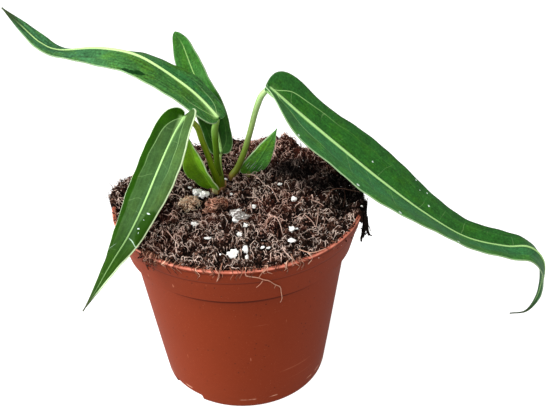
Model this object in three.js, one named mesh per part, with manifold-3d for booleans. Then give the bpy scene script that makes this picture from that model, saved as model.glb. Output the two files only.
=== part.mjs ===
// Potted queen anthurium: six long velvety leaves on slim stalks, in a heaped-up plastic nursery pot.
// Millimetres, +Z up. The origin is the middle of the pot's base, on the surface it stands on.
// The leaves reach left (-X) and right (+X), and -Y is the front.

import * as THREE from 'three';
import { mergeVertices } from 'three/addons/utils/BufferGeometryUtils.js';
import Module from 'manifold-3d';

const wasm = await Module();
wasm.setup();

const { Vector2, Vector3 } = THREE;

// Driving dimensions

const CLEARANCE = 0.35; // gap between pieces that touch
const POT_SIDES = 48;

const POT = {
  rimRadius: 60,
  height: 98.7,
  collarRadius: 55.3,
  collarBottom: 78.4,
  bodyTopRadius: 52.7,
  footRadius: 42.4,
  wall: 1.2,
  baseThickness: 2.4,
  holeCount: 8,
  holeRadius: 3.2,
  holeCircle: 29.5,
  notchWidth: 20,
  notchHeight: 3,
  notchAngle: -134,
};

const SOIL = {
  level: 98,
  backRise: 3.6,
  lump: 0.9,
  overhangRadius: 62.8,
  lipCover: 1.4,
  hang: 2.4,
  rings: 9,
  sides: 90,
};

// Heaps and hollows along the soil's back edge: x, y, radius and height.
const MOUNDS = [
  [24, 52, 7, 3.4],
  [5, 57, 7, -2.2],
  [-23, 53, 8, -2.6],
];

// A clump that hangs over the rim on the right: its direction and half-width in degrees, and its depth.
const HANGING_CLUMP = { angle: -12.5, halfAngle: 5, depth: 8 };

const BLADE = {
  thickness: 0.8,
  ribRise: 0.5,
  keel: 0.9,
  quilt: 0.22,
  lobeRows: 5,
  tipHalfWidth: 0.3,
};

// Each leaf's midrib runs through these places, from the stalk to the tip.
// A row is x, y, z, then in degrees the twist, and the fold of the left and the right half.
const LEAVES = {
  leaf_left: {
    midrib: [
      [-8.5, 10, 136.5, 0, 5, 5],
      [-16, 14, 144, 0, 1, 1],
      [-25, 17, 151, 1, -1, -1],
      [-43.5, 23, 162.6, 3, -19, -19],
      [-62, 26, 166.2, 4, -28, -24],
      [-81.5, 28, 165, 4, -3, -8],
      [-90.5, 29, 168.6, -9, 10, 10],
      [-98.5, 31, 176.5, -22, 10, 14],
      [-106, 32, 185, -24, 10, 14],
    ],
    face: [0.66, -0.23, 0.7],
    halfWidth: 13.8,
    widestAt: 0.22,
    lobe: 2,
    shoulder: 0.58,
    taper: [1.6, 0.95],
    rows: 28,
    colour: 0x3f7a45,
  },
  leaf_right: {
    midrib: [
      [16, 9, 151, 11, 24, 40],
      [33, 4, 138.6, 6, 4, 6],
      [51, 0, 124.6, 5, 4, 2],
      [70, -4, 108.6, 4, 5, 3],
      [90, -8, 93, 0, 3, 10],
      [110, -11, 80, -5, 4, 10],
      [129, -13, 75, -3, 6, 6],
      [140, -13, 74, 1, -6, -6],
      [148, -11, 67, 13, -13, -13],
      [152.5, -8, 56, 15, -12, -12],
      [154.7, -2, 36, 13, 2, 2],
      [151.4, 2, 21.6, 11, 8, 8],
      [143.8, 5, 17.4, 10, 8, 8],
    ],
    face: [0.63, -0.17, 0.76],
    halfWidth: 20,
    widestAt: 0.28,
    lobe: 2,
    shoulder: 0.48,
    taper: [1.6, 1.45],
    rows: 42,
    colour: 0x2a6b30,
  },
  leaf_front: {
    midrib: [
      [-22, -4, 144, -2, 25, 25],
      [-26, -12, 140, 2, 14, 14],
      [-31, -21, 133, 4, 3, 3],
      [-36.5, -30, 125, 2, -3, -3],
      [-41, -38, 117.5, -2, -7, -7],
      [-46.5, -46, 108, -5, -9, -9],
      [-52, -52, 99.5, 2, 0, -10],
      [-59, -58, 90, 8, 15, 0],
      [-66.5, -62, 81, 8, 10, 0],
    ],
    face: [-0.3, -0.5, 0.8],
    halfWidth: 12,
    widestAt: 0.25,
    lobe: 4,
    shoulder: 0.65,
    taper: [1.5, 1.15],
    rows: 26,
    colour: 0x3c7434,
  },
  leaf_back: {
    midrib: [
      [-8, 15, 115.5, 0, 10, 12],
      [-9.3, 20, 121.5, 0, 5, 5],
      [-12.3, 27, 130, 0, 5, 5],
      [-17, 33, 140, 0, 5, 32],
      [-22, 38, 153, 0, 0, 50],
      [-25, 40, 162, 0, 0, 50],
      [-28.6, 41, 168, 0, 0, 44],
    ],
    face: [0.2, -0.8, 0.4],
    halfWidth: 6.9,
    widestAt: 0.3,
    lobe: 1.2,
    shoulder: 0.52,
    taper: [4.5, 0.6],
    rows: 18,
    colour: 0x3a7030,
  },
  leaf_low: {
    midrib: [
      [-12, 5, 102, -42, 10, 30],
      [-15.5, 3, 110, -41, 22, 30],
      [-18.7, 1, 116.6, -41, 26, 26],
      [-20.2, 0, 122.5, -43, 22, 12],
      [-21.8, 0, 132, -45, 20, 8],
    ],
    face: [0, -0.9, 0.4],
    halfWidth: 8,
    widestAt: 0.35,
    lobe: 0.4,
    shoulder: 0.3,
    taper: [1.6, 1.1],
    rows: 11,
    colour: 0x5d8a20,
  },
  leaf_small: {
    midrib: [
      [5.4, 22, 101.8, 20, 6, 0],
      [9.4, 20, 107, 20, 6, 0],
      [13, 18, 114, 20, 6, 0],
      [16.6, 16, 121.3, 15, 6, 0],
      [19.6, 15, 127.6, 5, 6, 0],
    ],
    face: [0.2, -0.9, 0.4],
    halfWidth: 6.2,
    widestAt: 0.4,
    lobe: 0.5,
    shoulder: 0.4,
    taper: [1.6, 1.1],
    rows: 10,
    colour: 0x42783a,
  },
};

// A row is x, y, z and the stalk's radius there, from inside the soil upwards.
const STALKS = {
  crown: [
    [-9.8, 9, 84, 2.2],
    [-9.8, 9, 92, 3.2],
    [-9.8, 9, 99, 3.3],
    [-9.6, 9, 104, 2.9],
    [-9.6, 8.8, 106.5, 1.8],
  ],
  left: [
    [-9.3, 9, 96, 1.5],
    [-9, 9, 103, 1.6],
    [-9.8, 9, 112, 1.5],
    [-9.9, 9, 120.5, 1.4],
    [-10, 9.4, 126, 1.6],
    [-9.9, 9.8, 130.5, 1.7],
    [-8.9, 10, 135.1, 1.3],
  ],
  front: [
    [-10, 8, 97, 1.6],
    [-10.2, 6.4, 105, 1.7],
    [-11.6, 4.4, 112, 1.5],
    [-12.8, 3.4, 118, 1.4],
    [-14.2, 2.6, 124, 1.4],
    [-15.7, 1.6, 130, 1.4],
    [-17, 1, 136, 1.4],
    [-19.3, -0.4, 140.1, 1.3],
    [-21.5, -3, 143, 1.1],
  ],
  back: [
    [-8.8, 9.8, 98, 1.2],
    [-8.2, 11, 103, 1.1],
    [-8.7, 13.2, 108, 0.9],
    [-8.8, 14.6, 112, 0.9],
    [-8.2, 15.1, 114.2, 0.8],
  ],
  low: [
    [-10.5, 7.5, 96, 1.3],
    [-11.5, 6.2, 99, 1.3],
    [-11.4, 6.1, 100.8, 1],
  ],
  right: [
    [-6.6, 20.5, 86, 1.5],
    [-4.8, 19.8, 96, 1.9],
    [-3.2, 19, 100.6, 1.8],
    [-0.6, 18, 105, 1.6],
    [2.3, 17, 112.7, 1.5],
    [4.7, 15.2, 121, 1.4],
    [6.6, 13.8, 128, 1.4],
    [8.8, 12.2, 136.7, 1.4],
    [10.8, 11, 143, 1.5],
    [12.8, 10.2, 147.2, 1.5],
    [14.9, 9.5, 150.2, 1.1],
  ],
  small: [
    [3.2, 23.2, 88, 1.2],
    [4.3, 22.6, 95, 1.3],
    [4.6, 22.6, 100.2, 1],
  ],
};

// White granules and brown clumps of coir that lie on the soil: x, y, then the three half-sizes.
const GRANULES = [
  [-20.2, 3.6, 2.1, 1.7, 1.4],
  [-16.4, 0.4, 2.2, 1.8, 1.5],
  [-1.2, -15.4, 3.6, 3.2, 2.4],
  [3.2, -18.6, 2, 1.8, 1.4],
  [7.3, -7.9, 1.4, 1.3, 1],
  [26.9, -3.4, 1.5, 1.4, 1.1],
  [25.6, -28.6, 1.7, 1.5, 1.2],
  [-1.8, -44.6, 2.6, 2, 1.6],
  [4.6, -43.8, 1.7, 1.5, 1.2],
];
const COIR_CLUMPS = [
  [-24.4, -4.5, 4.4, 3.4, 2.4],
  [-11.9, -6.8, 4.6, 3.2, 2.6],
];

// Solids and small helpers

// A repeatable draw of numbers from 0 to 1.
function draws(seed) {
  let state = seed;
  return () => {
    state = (state * 48271) % 2147483647;
    return state / 2147483647;
  };
}

function solidOf(geometry) {
  const bare = geometry.clone();
  bare.deleteAttribute('normal');
  bare.deleteAttribute('uv');
  const merged = mergeVertices(bare, 1e-4);
  return new wasm.Manifold(new wasm.Mesh({
    numProp: 3,
    vertProperties: Float32Array.from(merged.attributes.position.array),
    triVerts: Uint32Array.from(merged.index.array),
  }));
}

function geometryOf(solid) {
  const { vertProperties, triVerts } = solid.getMesh();
  const geometry = new THREE.BufferGeometry();
  geometry.setAttribute('position', new THREE.BufferAttribute(vertProperties, 3));
  geometry.setIndex(new THREE.BufferAttribute(triVerts, 1));
  geometry.computeVertexNormals();
  return geometry;
}

function meshGeometry(points, triangles) {
  const geometry = new THREE.BufferGeometry().setFromPoints(points);
  geometry.setIndex(triangles);
  geometry.computeVertexNormals();
  return geometry;
}

// A closed profile of [radius, height] turned round the Z axis.
function turned(profile, sides = POT_SIDES) {
  const points = profile.map(([radius, height]) => new Vector2(radius, height));
  return new THREE.LatheGeometry(points, sides).rotateX(Math.PI / 2);
}

// The same open line of [radius, height], moved sideways to its left by a distance.
function movedLine(line, distance) {
  return line.map(([radius, height], index) => {
    const here = new Vector2(radius, height);
    const before = new Vector2(...line[Math.max(index - 1, 0)]);
    const after = new Vector2(...line[Math.min(index + 1, line.length - 1)]);
    const arrive = here.clone().sub(before).normalize();
    const leave = after.clone().sub(here).normalize();
    const along = arrive.clone().add(leave).normalize();
    const left = new Vector2(-along.y, along.x);
    const side = arrive.lengthSq() > 0 ? arrive : leave;
    const stretch = 1 / Math.max(left.dot(new Vector2(-side.y, side.x)), 0.5);
    here.addScaledVector(left, distance * stretch);
    return [here.x, here.y];
  });
}

// A round stalk through rows of x, y, z and radius, grown by a margin, with a low dome at each end.
function stalkGeometry(rows, margin = 0, stepsPerRow = 2, sides = 8) {
  const curve = new THREE.CatmullRomCurve3(
    rows.map(([x, y, z]) => new Vector3(x, y, z)),
    false,
    'catmullrom',
    0.5,
  );
  const steps = (rows.length - 1) * stepsPerRow;
  const { tangents, normals, binormals } = curve.computeFrenetFrames(steps, false);
  const points = [];
  const triangles = [];
  for (let step = 0; step <= steps; step += 1) {
    const t = curve.getUtoTmapping(step / steps);
    const centre = curve.getPoint(t);
    if (step === 0 || step === steps) {
      centre.addScaledVector(tangents[step], step === 0 ? -margin : margin);
    }
    const place = t * (rows.length - 1);
    const row = Math.min(Math.floor(place), rows.length - 2);
    const radius = THREE.MathUtils.lerp(rows[row][3], rows[row + 1][3], place - row) + margin;
    for (let side = 0; side < sides; side += 1) {
      const angle = (2 * Math.PI * side) / sides;
      points.push(centre.clone()
        .addScaledVector(normals[step], radius * Math.cos(angle))
        .addScaledVector(binormals[step], radius * Math.sin(angle)));
    }
  }
  for (let step = 0; step < steps; step += 1) {
    for (let side = 0; side < sides; side += 1) {
      const next = (side + 1) % sides;
      const a = step * sides + side;
      const b = step * sides + next;
      triangles.push(a, b, b + sides, a, b + sides, a + sides);
    }
  }
  const dome = 0.35;
  const last = steps * sides;
  const startRadius = rows[0][3];
  const endRadius = rows[rows.length - 1][3];
  points.push(curve.getPoint(0).addScaledVector(tangents[0], -dome * startRadius - margin));
  points.push(curve.getPoint(1).addScaledVector(tangents[steps], dome * endRadius + margin));
  for (let side = 0; side < sides; side += 1) {
    const next = (side + 1) % sides;
    triangles.push(points.length - 2, next, side);
    triangles.push(points.length - 1, last + side, last + next);
  }
  return meshGeometry(points, triangles);
}

// Pot

// The pot's outside, from the middle of the base out and up to the top of the lip.
// The base touches the ground in a middle disc and a foot ring, with a raised ring between them.
const potOutside = [
  [0, 0],
  [22, 0],
  [23.4, 3],
  [35.2, 3],
  [36.4, 0],
  [POT.footRadius - 2.2, 0],
  [POT.footRadius, 2.6],
  [POT.bodyTopRadius, POT.collarBottom],
  [POT.collarRadius - 0.5, POT.collarBottom + 0.3],
  [POT.collarRadius + 0.1, POT.collarBottom + 1.2],
  [58.2, 89.6],
  [58.6, 90],
  [POT.rimRadius - 0.4, POT.height - 1.7],
  [POT.rimRadius, POT.height - 1],
  [POT.rimRadius - 0.3, POT.height - 0.3],
  [POT.rimRadius - 0.9, POT.height],
];

// Its inside, from the lip down to the middle of the base.
const potInside = [
  [POT.rimRadius - 1.6, POT.height - 0.4],
  [POT.rimRadius - 1.9, POT.height - 1.2],
  [POT.collarRadius - POT.wall + 0.2, POT.collarBottom + 1.6],
  [POT.bodyTopRadius - POT.wall, POT.collarBottom + 0.8],
  [POT.footRadius - POT.wall + 0.3, 6.4],
  [POT.footRadius - POT.wall - 1.2, 5.2],
  [22.8, 5.2],
  [21.2, POT.baseThickness],
  [0, POT.baseThickness],
];

function potGeometry() {
  let pot = solidOf(turned([...potOutside, ...potInside]));
  for (let hole = 0; hole < POT.holeCount; hole += 1) {
    const angle = (2 * Math.PI * (hole + 0.5)) / POT.holeCount;
    const drill = new THREE.CylinderGeometry(POT.holeRadius, POT.holeRadius, 6, 12);
    drill.rotateX(Math.PI / 2);
    drill.translate(POT.holeCircle * Math.cos(angle), POT.holeCircle * Math.sin(angle), 4);
    pot = pot.subtract(solidOf(drill));
  }
  // Two arches in the foot ring, opposite each other, let the water out.
  for (const turn of [0, 180]) {
    const arch = new THREE.CylinderGeometry(1, 1, 8, 20);
    arch.rotateZ(Math.PI / 2);
    arch.scale(1, POT.notchWidth / 2, POT.notchHeight);
    arch.translate(39.8, 0, 0);
    arch.rotateZ(THREE.MathUtils.degToRad(POT.notchAngle + turn));
    pot = pot.subtract(solidOf(arch));
  }
  return geometryOf(pot);
}

// Soil

// Uneven ground: three crossing waves of different length.
function lumps(x, y) {
  return Math.sin(0.19 * x + 1.3 * Math.sin(0.11 * y)) * Math.sin(0.17 * y + 0.6)
    + 0.6 * Math.sin(0.37 * x - 0.21 * y + 2)
    + 0.5 * Math.sin(0.43 * y + 0.3 * x);
}

function soilHeight(x, y) {
  const back = THREE.MathUtils.smoothstep(y, 12, 46);
  const middle = 1 - Math.min(Math.hypot(x, y) / 58, 1) ** 2;
  const heaps = MOUNDS.reduce((sum, [moundX, moundY, radius, height]) => (
    sum + height * Math.exp(-((Math.hypot(x - moundX, y - moundY) / radius) ** 2))
  ), 0);
  return SOIL.level + SOIL.backRise * back + 0.9 * middle + SOIL.lump * lumps(x, y) + heaps;
}

// How much the soil spills over the rim towards an angle in degrees: 0 is none, 1 is most.
// It spills over at the left and, a little less, at the right.
function spill(angle) {
  const { smoothstep, euclideanModulo } = THREE.MathUtils;
  const left = euclideanModulo(angle, 360);
  const right = euclideanModulo(angle + 180, 360) - 180;
  const overLeft = smoothstep(left, 156, 168) * (1 - smoothstep(left, 180, 186));
  const overRight = smoothstep(right, -19, -13) * (1 - smoothstep(right, -12, 14));
  return Math.max(overLeft, 0.9 * overRight);
}

// How far below the lip's top the spilled soil hangs, towards an angle in degrees.
function hangDepth(angle, over) {
  const away = Math.abs(angle - HANGING_CLUMP.angle - (angle > 180 ? 360 : 0)) / HANGING_CLUMP.halfAngle;
  const clump = Math.max(1 - away ** 2, 0) * (HANGING_CLUMP.depth - SOIL.hang);
  return SOIL.hang + (over > 0 ? 0.8 * over * Math.sin(0.32 * angle) + clump : 1.6);
}

// A lumpy cap of soil. Where it spills over the rim, its edge hangs outside the pot.
function soilCap() {
  const { sides } = SOIL;
  const points = [new Vector3(0, 0, soilHeight(0, 0))];
  const triangles = [];
  for (let ring = 1; ring <= SOIL.rings; ring += 1) {
    for (let side = 0; side < sides; side += 1) {
      const angle = (2 * Math.PI * side) / sides;
      const degrees = THREE.MathUtils.radToDeg(angle);
      const over = spill(degrees);
      const ragged = 0.5 * Math.sin(degrees * 0.4) + 0.4 * Math.sin(degrees * 0.88 + 1);
      const inRim = POT.rimRadius - 2.6;
      const edge = inRim + (SOIL.overhangRadius - inRim + ragged) * over;
      const radius = edge * Math.sqrt(ring / SOIL.rings) ** 1.4;
      const x = radius * Math.cos(angle);
      const y = radius * Math.sin(angle);
      const lip = over * THREE.MathUtils.smoothstep(radius, 48, 59);
      const cover = POT.height + SOIL.lipCover + 0.5 * ragged;
      const height = THREE.MathUtils.lerp(soilHeight(x, y), cover, lip);
      points.push(new Vector3(x, y, height));
    }
  }
  const edgeStart = points.length - sides;
  for (let side = 0; side < sides; side += 1) {
    const degrees = (360 * side) / sides;
    const rim = points[edgeStart + side];
    points.push(new Vector3(rim.x, rim.y, POT.height - hangDepth(degrees, spill(degrees))));
  }
  points.push(new Vector3(0, 0, POT.height - 16));
  for (let side = 0; side < sides; side += 1) {
    const next = (side + 1) % sides;
    triangles.push(0, 1 + side, 1 + next);
    for (let ring = 0; ring < SOIL.rings; ring += 1) {
      const a = 1 + ring * sides + side;
      const b = 1 + ring * sides + next;
      triangles.push(a, a + sides, b + sides, a, b + sides, b);
    }
    const lower = points.length - 1 - sides;
    triangles.push(points.length - 1, lower + next, lower + side);
  }
  return meshGeometry(points, triangles);
}

function soilGeometry(stalks, granules) {
  // The part inside the pot follows its inner wall at the clearance, and stops just under the rim.
  const wall = movedLine(potInside, -CLEARANCE).slice(1);
  wall[wall.length - 1][0] = 0;
  const bottomUp = wall.reverse();
  const inside = solidOf(turned([...bottomUp, [0, bottomUp[bottomUp.length - 1][1]]]));
  // The pot's wall with the clearance round it, which the cap may not enter.
  const wallLine = movedLine([...potOutside.slice(6), ...potInside.slice(0, 5)], -CLEARANCE);
  const keepOut = solidOf(turned([...wallLine, wallLine[0]]));
  let soil = solidOf(soilCap()).subtract(keepOut).add(inside);
  for (const stalk of stalks) {
    soil = soil.subtract(solidOf(stalkGeometry(stalk, CLEARANCE)));
  }
  for (const granule of granules) {
    soil = soil.subtract(solidOf(granule));
  }
  const parts = soil.decompose();
  return geometryOf(parts.sort((a, b) => b.volume() - a.volume())[0]);
}

// Leaves

// A blade is laid out flat first. Along is the distance from the stalk down the midrib, and
// across is the distance from the midrib. Then it is bent along the midrib's curve.
class Blade {
  constructor(shape) {
    this.shape = shape;
    this.curve = new THREE.CatmullRomCurve3(
      shape.midrib.map(([x, y, z]) => new Vector3(x, y, z)),
      false,
      'catmullrom',
      0.5,
    );
    this.curve.arcLengthDivisions = 400;
    this.angles = new THREE.CatmullRomCurve3(
      shape.midrib.map(([, , , twist, left, right]) => new Vector3(twist, left, right)),
      false,
      'catmullrom',
      0.5,
    );
    this.length = this.curve.getLength();
    this.frames = this.carryFace(240);
  }

  // The face's direction is carried down the midrib without turning about it.
  carryFace(count) {
    const frames = [];
    let face = new Vector3(...this.shape.face);
    for (let index = 0; index <= count; index += 1) {
      const t = this.curve.getUtoTmapping(index / count);
      const along = this.curve.getTangent(t);
      face = face.clone().addScaledVector(along, -face.dot(along)).normalize();
      const [twist, left, right] = this.angles.getPoint(t).toArray();
      const side = along.clone().cross(face);
      const turn = THREE.MathUtils.degToRad(twist);
      frames.push({
        place: this.curve.getPoint(t),
        along,
        up: face.clone().multiplyScalar(Math.cos(turn)).addScaledVector(side, Math.sin(turn)),
        side: side.clone().multiplyScalar(Math.cos(turn)).addScaledVector(face, -Math.sin(turn)),
        folds: [THREE.MathUtils.degToRad(left), THREE.MathUtils.degToRad(right)],
      });
    }
    return frames;
  }

  frameAt(along) {
    const count = this.frames.length - 1;
    const place = THREE.MathUtils.clamp(along / this.length, 0, 1) * count;
    const index = Math.min(Math.floor(place), count - 1);
    const share = place - index;
    const [a, b] = [this.frames[index], this.frames[index + 1]];
    return {
      place: a.place.clone().lerp(b.place, share).addScaledVector(a.along, Math.min(along, 0)),
      up: a.up.clone().lerp(b.up, share).normalize(),
      side: a.side.clone().lerp(b.side, share).normalize(),
      folds: a.folds.map((fold, half) => THREE.MathUtils.lerp(fold, b.folds[half], share)),
    };
  }

  halfWidthAt(along) {
    const { halfWidth, widestAt, shoulder, taper } = this.shape;
    const share = THREE.MathUtils.clamp(along / this.length, 0, 1);
    if (share < widestAt) {
      return halfWidth * (1 - (1 - shoulder) * (1 - share / widestAt) ** 2);
    }
    const rest = (share - widestAt) / (1 - widestAt);
    return Math.max(halfWidth * (1 - rest ** taper[0]) ** taper[1], BLADE.tipHalfWidth);
  }

  // The margin as [along, across]: first round the lobe beside the stalk, then on to the tip.
  marginRows() {
    const { lobe, widestAt, rows } = this.shape;
    const lobeEnd = 0.6 * widestAt * this.length;
    const lobeWidth = this.halfWidthAt(lobeEnd);
    const start = Math.min(1.2, 0.2 * lobeWidth);
    const lobeCurve = new THREE.CubicBezierCurve(
      new Vector2(-0.7 * lobe, start),
      new Vector2(-1.45 * lobe, start + 0.5 * (lobeWidth - start)),
      new Vector2(-0.3 * lobe, lobeWidth),
      new Vector2(lobeEnd, lobeWidth),
    );
    const list = [];
    const ribEnd = lobeEnd - 0.5 * lobeWidth;
    for (let row = 0; row < BLADE.lobeRows; row += 1) {
      const share = row / BLADE.lobeRows;
      const { x, y } = lobeCurve.getPoint(share);
      list.push({ along: x, across: y, rib: Math.max(ribEnd, 0.5) * share ** 1.3 });
    }
    for (let row = 0; row <= rows; row += 1) {
      const along = THREE.MathUtils.lerp(lobeEnd, this.length, row / rows);
      const across = this.halfWidthAt(along);
      // The side veins sweep forward, so the margin of a row lies nearer the tip than its rib end.
      const sweep = Math.min(0.5 * across, along - Math.max(ribEnd, 0.5));
      list.push({ along, across, rib: along - Math.max(sweep, 0) * (1 - row / rows) });
    }
    return list;
  }

  // One point of the blade's middle surface, and the way its upper side faces there.
  pointAt(along, across, lift) {
    const frame = this.frameAt(along);
    const half = across > 0 ? 1 : 0;
    const fold = across === 0 ? 0 : frame.folds[half] * Math.sign(across);
    const out = frame.side.clone().multiplyScalar(Math.cos(fold)).addScaledVector(frame.up, Math.sin(fold));
    const up = frame.up.clone().multiplyScalar(Math.cos(fold)).addScaledVector(frame.side, -Math.sin(fold));
    const place = frame.place.addScaledVector(out, across).addScaledVector(up, lift);
    return { place, up };
  }

  geometry() {
    const shares = [-1, -0.74, -0.4, -0.09, 0, 0.09, 0.4, 0.74, 1];
    const rows = this.marginRows();
    const wide = shares.length;
    const top = [];
    const bottom = [];
    rows.forEach((row, index) => {
      const taper = Math.min(row.across / (0.4 * this.shape.halfWidth), 1);
      shares.forEach((share) => {
        const far = Math.abs(share);
        const along = THREE.MathUtils.lerp(row.rib, row.along, far);
        const quilt = BLADE.quilt * taper * (index % 2 ? 1 : -1) * Math.sin(Math.PI * Math.min(far * 1.2, 1));
        const wave = 0.5 * taper * Math.sin(index * 0.9 + (share > 0 ? 2 : 0)) * far ** 3;
        const { place, up } = this.pointAt(along, share * row.across, quilt + wave);
        const rib = far === 0 ? taper : 0;
        top.push(place.clone().addScaledVector(up, BLADE.thickness / 2 + BLADE.ribRise * rib));
        bottom.push(place.clone().addScaledVector(up, -BLADE.thickness / 2 - BLADE.keel * rib));
      });
    });
    const under = top.length;
    const triangles = [];
    for (let row = 0; row < rows.length - 1; row += 1) {
      for (let column = 0; column < wide - 1; column += 1) {
        const a = row * wide + column;
        const [b, c, d] = [a + 1, a + wide + 1, a + wide];
        const leftHalf = column < (wide - 1) / 2;
        const split = leftHalf ? [[a, b, c], [a, c, d]] : [[a, b, d], [b, c, d]];
        for (const [p, q, r] of split) {
          triangles.push(p, q, r);
          triangles.push(under + p, under + r, under + q);
        }
      }
    }
    // The thin edge all round joins the upper side to the lower.
    const rim = [];
    for (let column = 0; column < wide - 1; column += 1) {
      rim.push(column);
    }
    for (let row = 0; row < rows.length - 1; row += 1) {
      rim.push(row * wide + wide - 1);
    }
    for (let column = wide - 1; column > 0; column -= 1) {
      rim.push((rows.length - 1) * wide + column);
    }
    for (let row = rows.length - 1; row > 0; row -= 1) {
      rim.push(row * wide);
    }
    rim.forEach((point, index) => {
      const next = rim[(index + 1) % rim.length];
      triangles.push(point, under + point, next, next, under + point, under + next);
    });
    return meshGeometry([...top, ...bottom], triangles);
  }
}

// Granules and clumps

// A small rough lump that sits a little more than half out of the soil, grown by a margin.
function lumpGeometry([x, y, a, b, c], seed, margin = 0) {
  const draw = draws(seed);
  const ball = new THREE.IcosahedronGeometry(1, 1);
  ball.deleteAttribute('normal');
  ball.deleteAttribute('uv');
  const lump = mergeVertices(ball, 1e-4);
  const { position } = lump.attributes;
  for (let index = 0; index < position.count; index += 1) {
    const corner = new Vector3().fromBufferAttribute(position, index);
    corner.multiplyScalar(0.86 + 0.26 * draw());
    corner.multiply(new Vector3(a + margin, b + margin, c + margin));
    position.setXYZ(index, corner.x, corner.y, corner.z);
  }
  lump.rotateZ(2 * Math.PI * draw());
  lump.translate(x, y, soilHeight(x, y) + 0.35 * c);
  return lump;
}

// The plant in its pot

function piece(name, geometry, colour, roughness) {
  const material = new THREE.MeshStandardMaterial({ color: colour, roughness, metalness: 0 });
  const mesh = new THREE.Mesh(geometry, material);
  mesh.name = name;
  return mesh;
}

function grownTogether(names) {
  return names
    .map((name) => solidOf(stalkGeometry(STALKS[name])))
    .reduce((whole, part) => whole.add(part));
}

const plant = new THREE.Group();

const grains = GRANULES.map((row, index) => ({ row, seed: 11 + index, name: `perlite_${index + 1}` }));
const clumps = COIR_CLUMPS.map((row, index) => ({ row, seed: 71 + index, name: `coir_clump_${index + 1}` }));

plant.add(piece('pot', potGeometry(), 0x9a4a30, 0.55));

const dimples = [...grains, ...clumps].map(({ row, seed }) => lumpGeometry(row, seed, CLEARANCE));
const inSoil = ['crown', 'left', 'front', 'back', 'low', 'right', 'small'].map((name) => STALKS[name]);
plant.add(piece('soil', soilGeometry(inSoil, dimples), 0x3b2418, 0.95));

plant.add(piece('shoot', geometryOf(grownTogether(['crown', 'left', 'front', 'back', 'low'])), 0x6f8f35, 0.5));
plant.add(piece('stalk_right', stalkGeometry(STALKS.right), 0x86ab5a, 0.5));
plant.add(piece('stalk_small', stalkGeometry(STALKS.small), 0x7a9a48, 0.5));

for (const [name, shape] of Object.entries(LEAVES)) {
  plant.add(piece(name, new Blade(shape).geometry(), shape.colour, 0.6));
}
for (const { row, seed, name } of grains) {
  plant.add(piece(name, lumpGeometry(row, seed), 0xe9e6df, 0.9));
}
for (const { row, seed, name } of clumps) {
  plant.add(piece(name, lumpGeometry(row, seed), 0x8a5a3a, 0.95));
}

export default plant;
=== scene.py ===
import math

import bpy
import numpy as np
from mathutils import Matrix, Vector, noise


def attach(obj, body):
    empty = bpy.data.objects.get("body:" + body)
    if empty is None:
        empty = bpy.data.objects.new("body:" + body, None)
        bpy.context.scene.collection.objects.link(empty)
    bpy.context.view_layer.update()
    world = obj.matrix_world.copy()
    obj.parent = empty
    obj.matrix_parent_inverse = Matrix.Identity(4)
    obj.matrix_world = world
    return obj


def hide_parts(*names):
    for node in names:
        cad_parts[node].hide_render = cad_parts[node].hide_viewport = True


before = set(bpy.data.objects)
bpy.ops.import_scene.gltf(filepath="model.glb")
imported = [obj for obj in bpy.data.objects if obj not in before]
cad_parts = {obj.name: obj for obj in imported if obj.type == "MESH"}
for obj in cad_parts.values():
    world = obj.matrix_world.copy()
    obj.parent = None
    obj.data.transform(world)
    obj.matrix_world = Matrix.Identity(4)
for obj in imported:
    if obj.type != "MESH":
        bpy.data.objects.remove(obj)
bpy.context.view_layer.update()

MM = 0.001

# The lights: place in metres, size, power, what they are aimed at, and tint.
LIGHTS = {
    "key": ((-0.3, -0.45, 1.1), 0.9, 14, (0, 0, 0.1), (1, 1, 1)),
    "fill": ((0.1, -1.2, 0.5), 0.9, 2.5, (0, 0, 0.1), (1, 1, 1)),
    "side": ((-1.1, -0.25, 0.3), 0.7, 17, (0, 0, 0.1), (1, 1, 1)),
    "warm": ((1, -0.6, 0.25), 0.6, 2.5, (0, 0, 0.06), (1, 0.7, 0.5)),
}

# The camera, in millimetres and degrees, for a picture 550 wide and 414 high.
CAMERA = {
    "aim": (17.7, 0, 92.6),
    "distance": 391,
    "elevation": 32,
    "roll": -1.5,
    "focal_pixels": 800,
    "picture_width": 550,
    "film": 36,
}

# The pot, in millimetres.
POT = {
    "rim_radius": 60.5,
    "height": 98.7,
    "collar_radius": 55.7,
    "collar_bottom": 78.4,
    "body_top_radius": 52.8,
    "foot_radius": 42.5,
    "wall": 1.2,
    "base_thickness": 2.4,
    "hole_count": 8,
    "hole_radius": 3.2,
    "hole_circle": 29.5,
    "notch_width": 20,
    "notch_height": 4,
    "notch_angle": -134,
    "disc_radius": 22,
    "ring_radius": 36.4,
    "recess": 3,
    "drill_height": 4,
    "drill_depth": 6,
    "notch_depth": 9,
    "notch_circle": 39.8,
    "notch_round": 1.2,
    "sides": 144,
}

# Shade under the collar's step, the groove and the ridge below the lip: height, reach and strength.
POT_SHADES = [(76.1, 1.2, 0.75), (90.8, 0.6, 0.42), (96.4, 0.6, 0.5)]
# The pale line above the foot, partly wear and partly a painted highlight.
WEAR_AND_HIGHLIGHT_HEIGHT = 6.1

# The soil, in millimetres.
SOIL = {
    "level": 98,
    "back_rise": 3.6,
    "lump": 0.9,
    "overhang_radius": 62,
    "lip_cover": 1.4,
    "hang": 2.4,
    "cells": 270,
}
# Heaps and hollows along the soil's back edge: x, y, radius and height.
MOUNDS = [(24, 52, 7, 3.4), (5, 57, 7, -2.2), (-23, 53, 8, -2.6)]
# The soil's edge, ring by ring. Where it spills over the rim: the ring's radius (None keeps the
# edge's own), the share of the hanging depth, and the height above the rim. Elsewhere: the step
# inward and the depth below the rim. Then come the rings inside the pot: radius and height.
EDGE_RINGS = [(None, 1, 0, 0.6, 3), (61, 0.9, 0, 0.2, 4), (60.8, 0, 0.2, 0, 4.4), (57.8, 0, 0.2, 0, 4.8)]
INNER_RINGS = [(57, POT["height"] - 5.4), (50.2, 80), (40, 6.6), (24, 5.7)]
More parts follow.
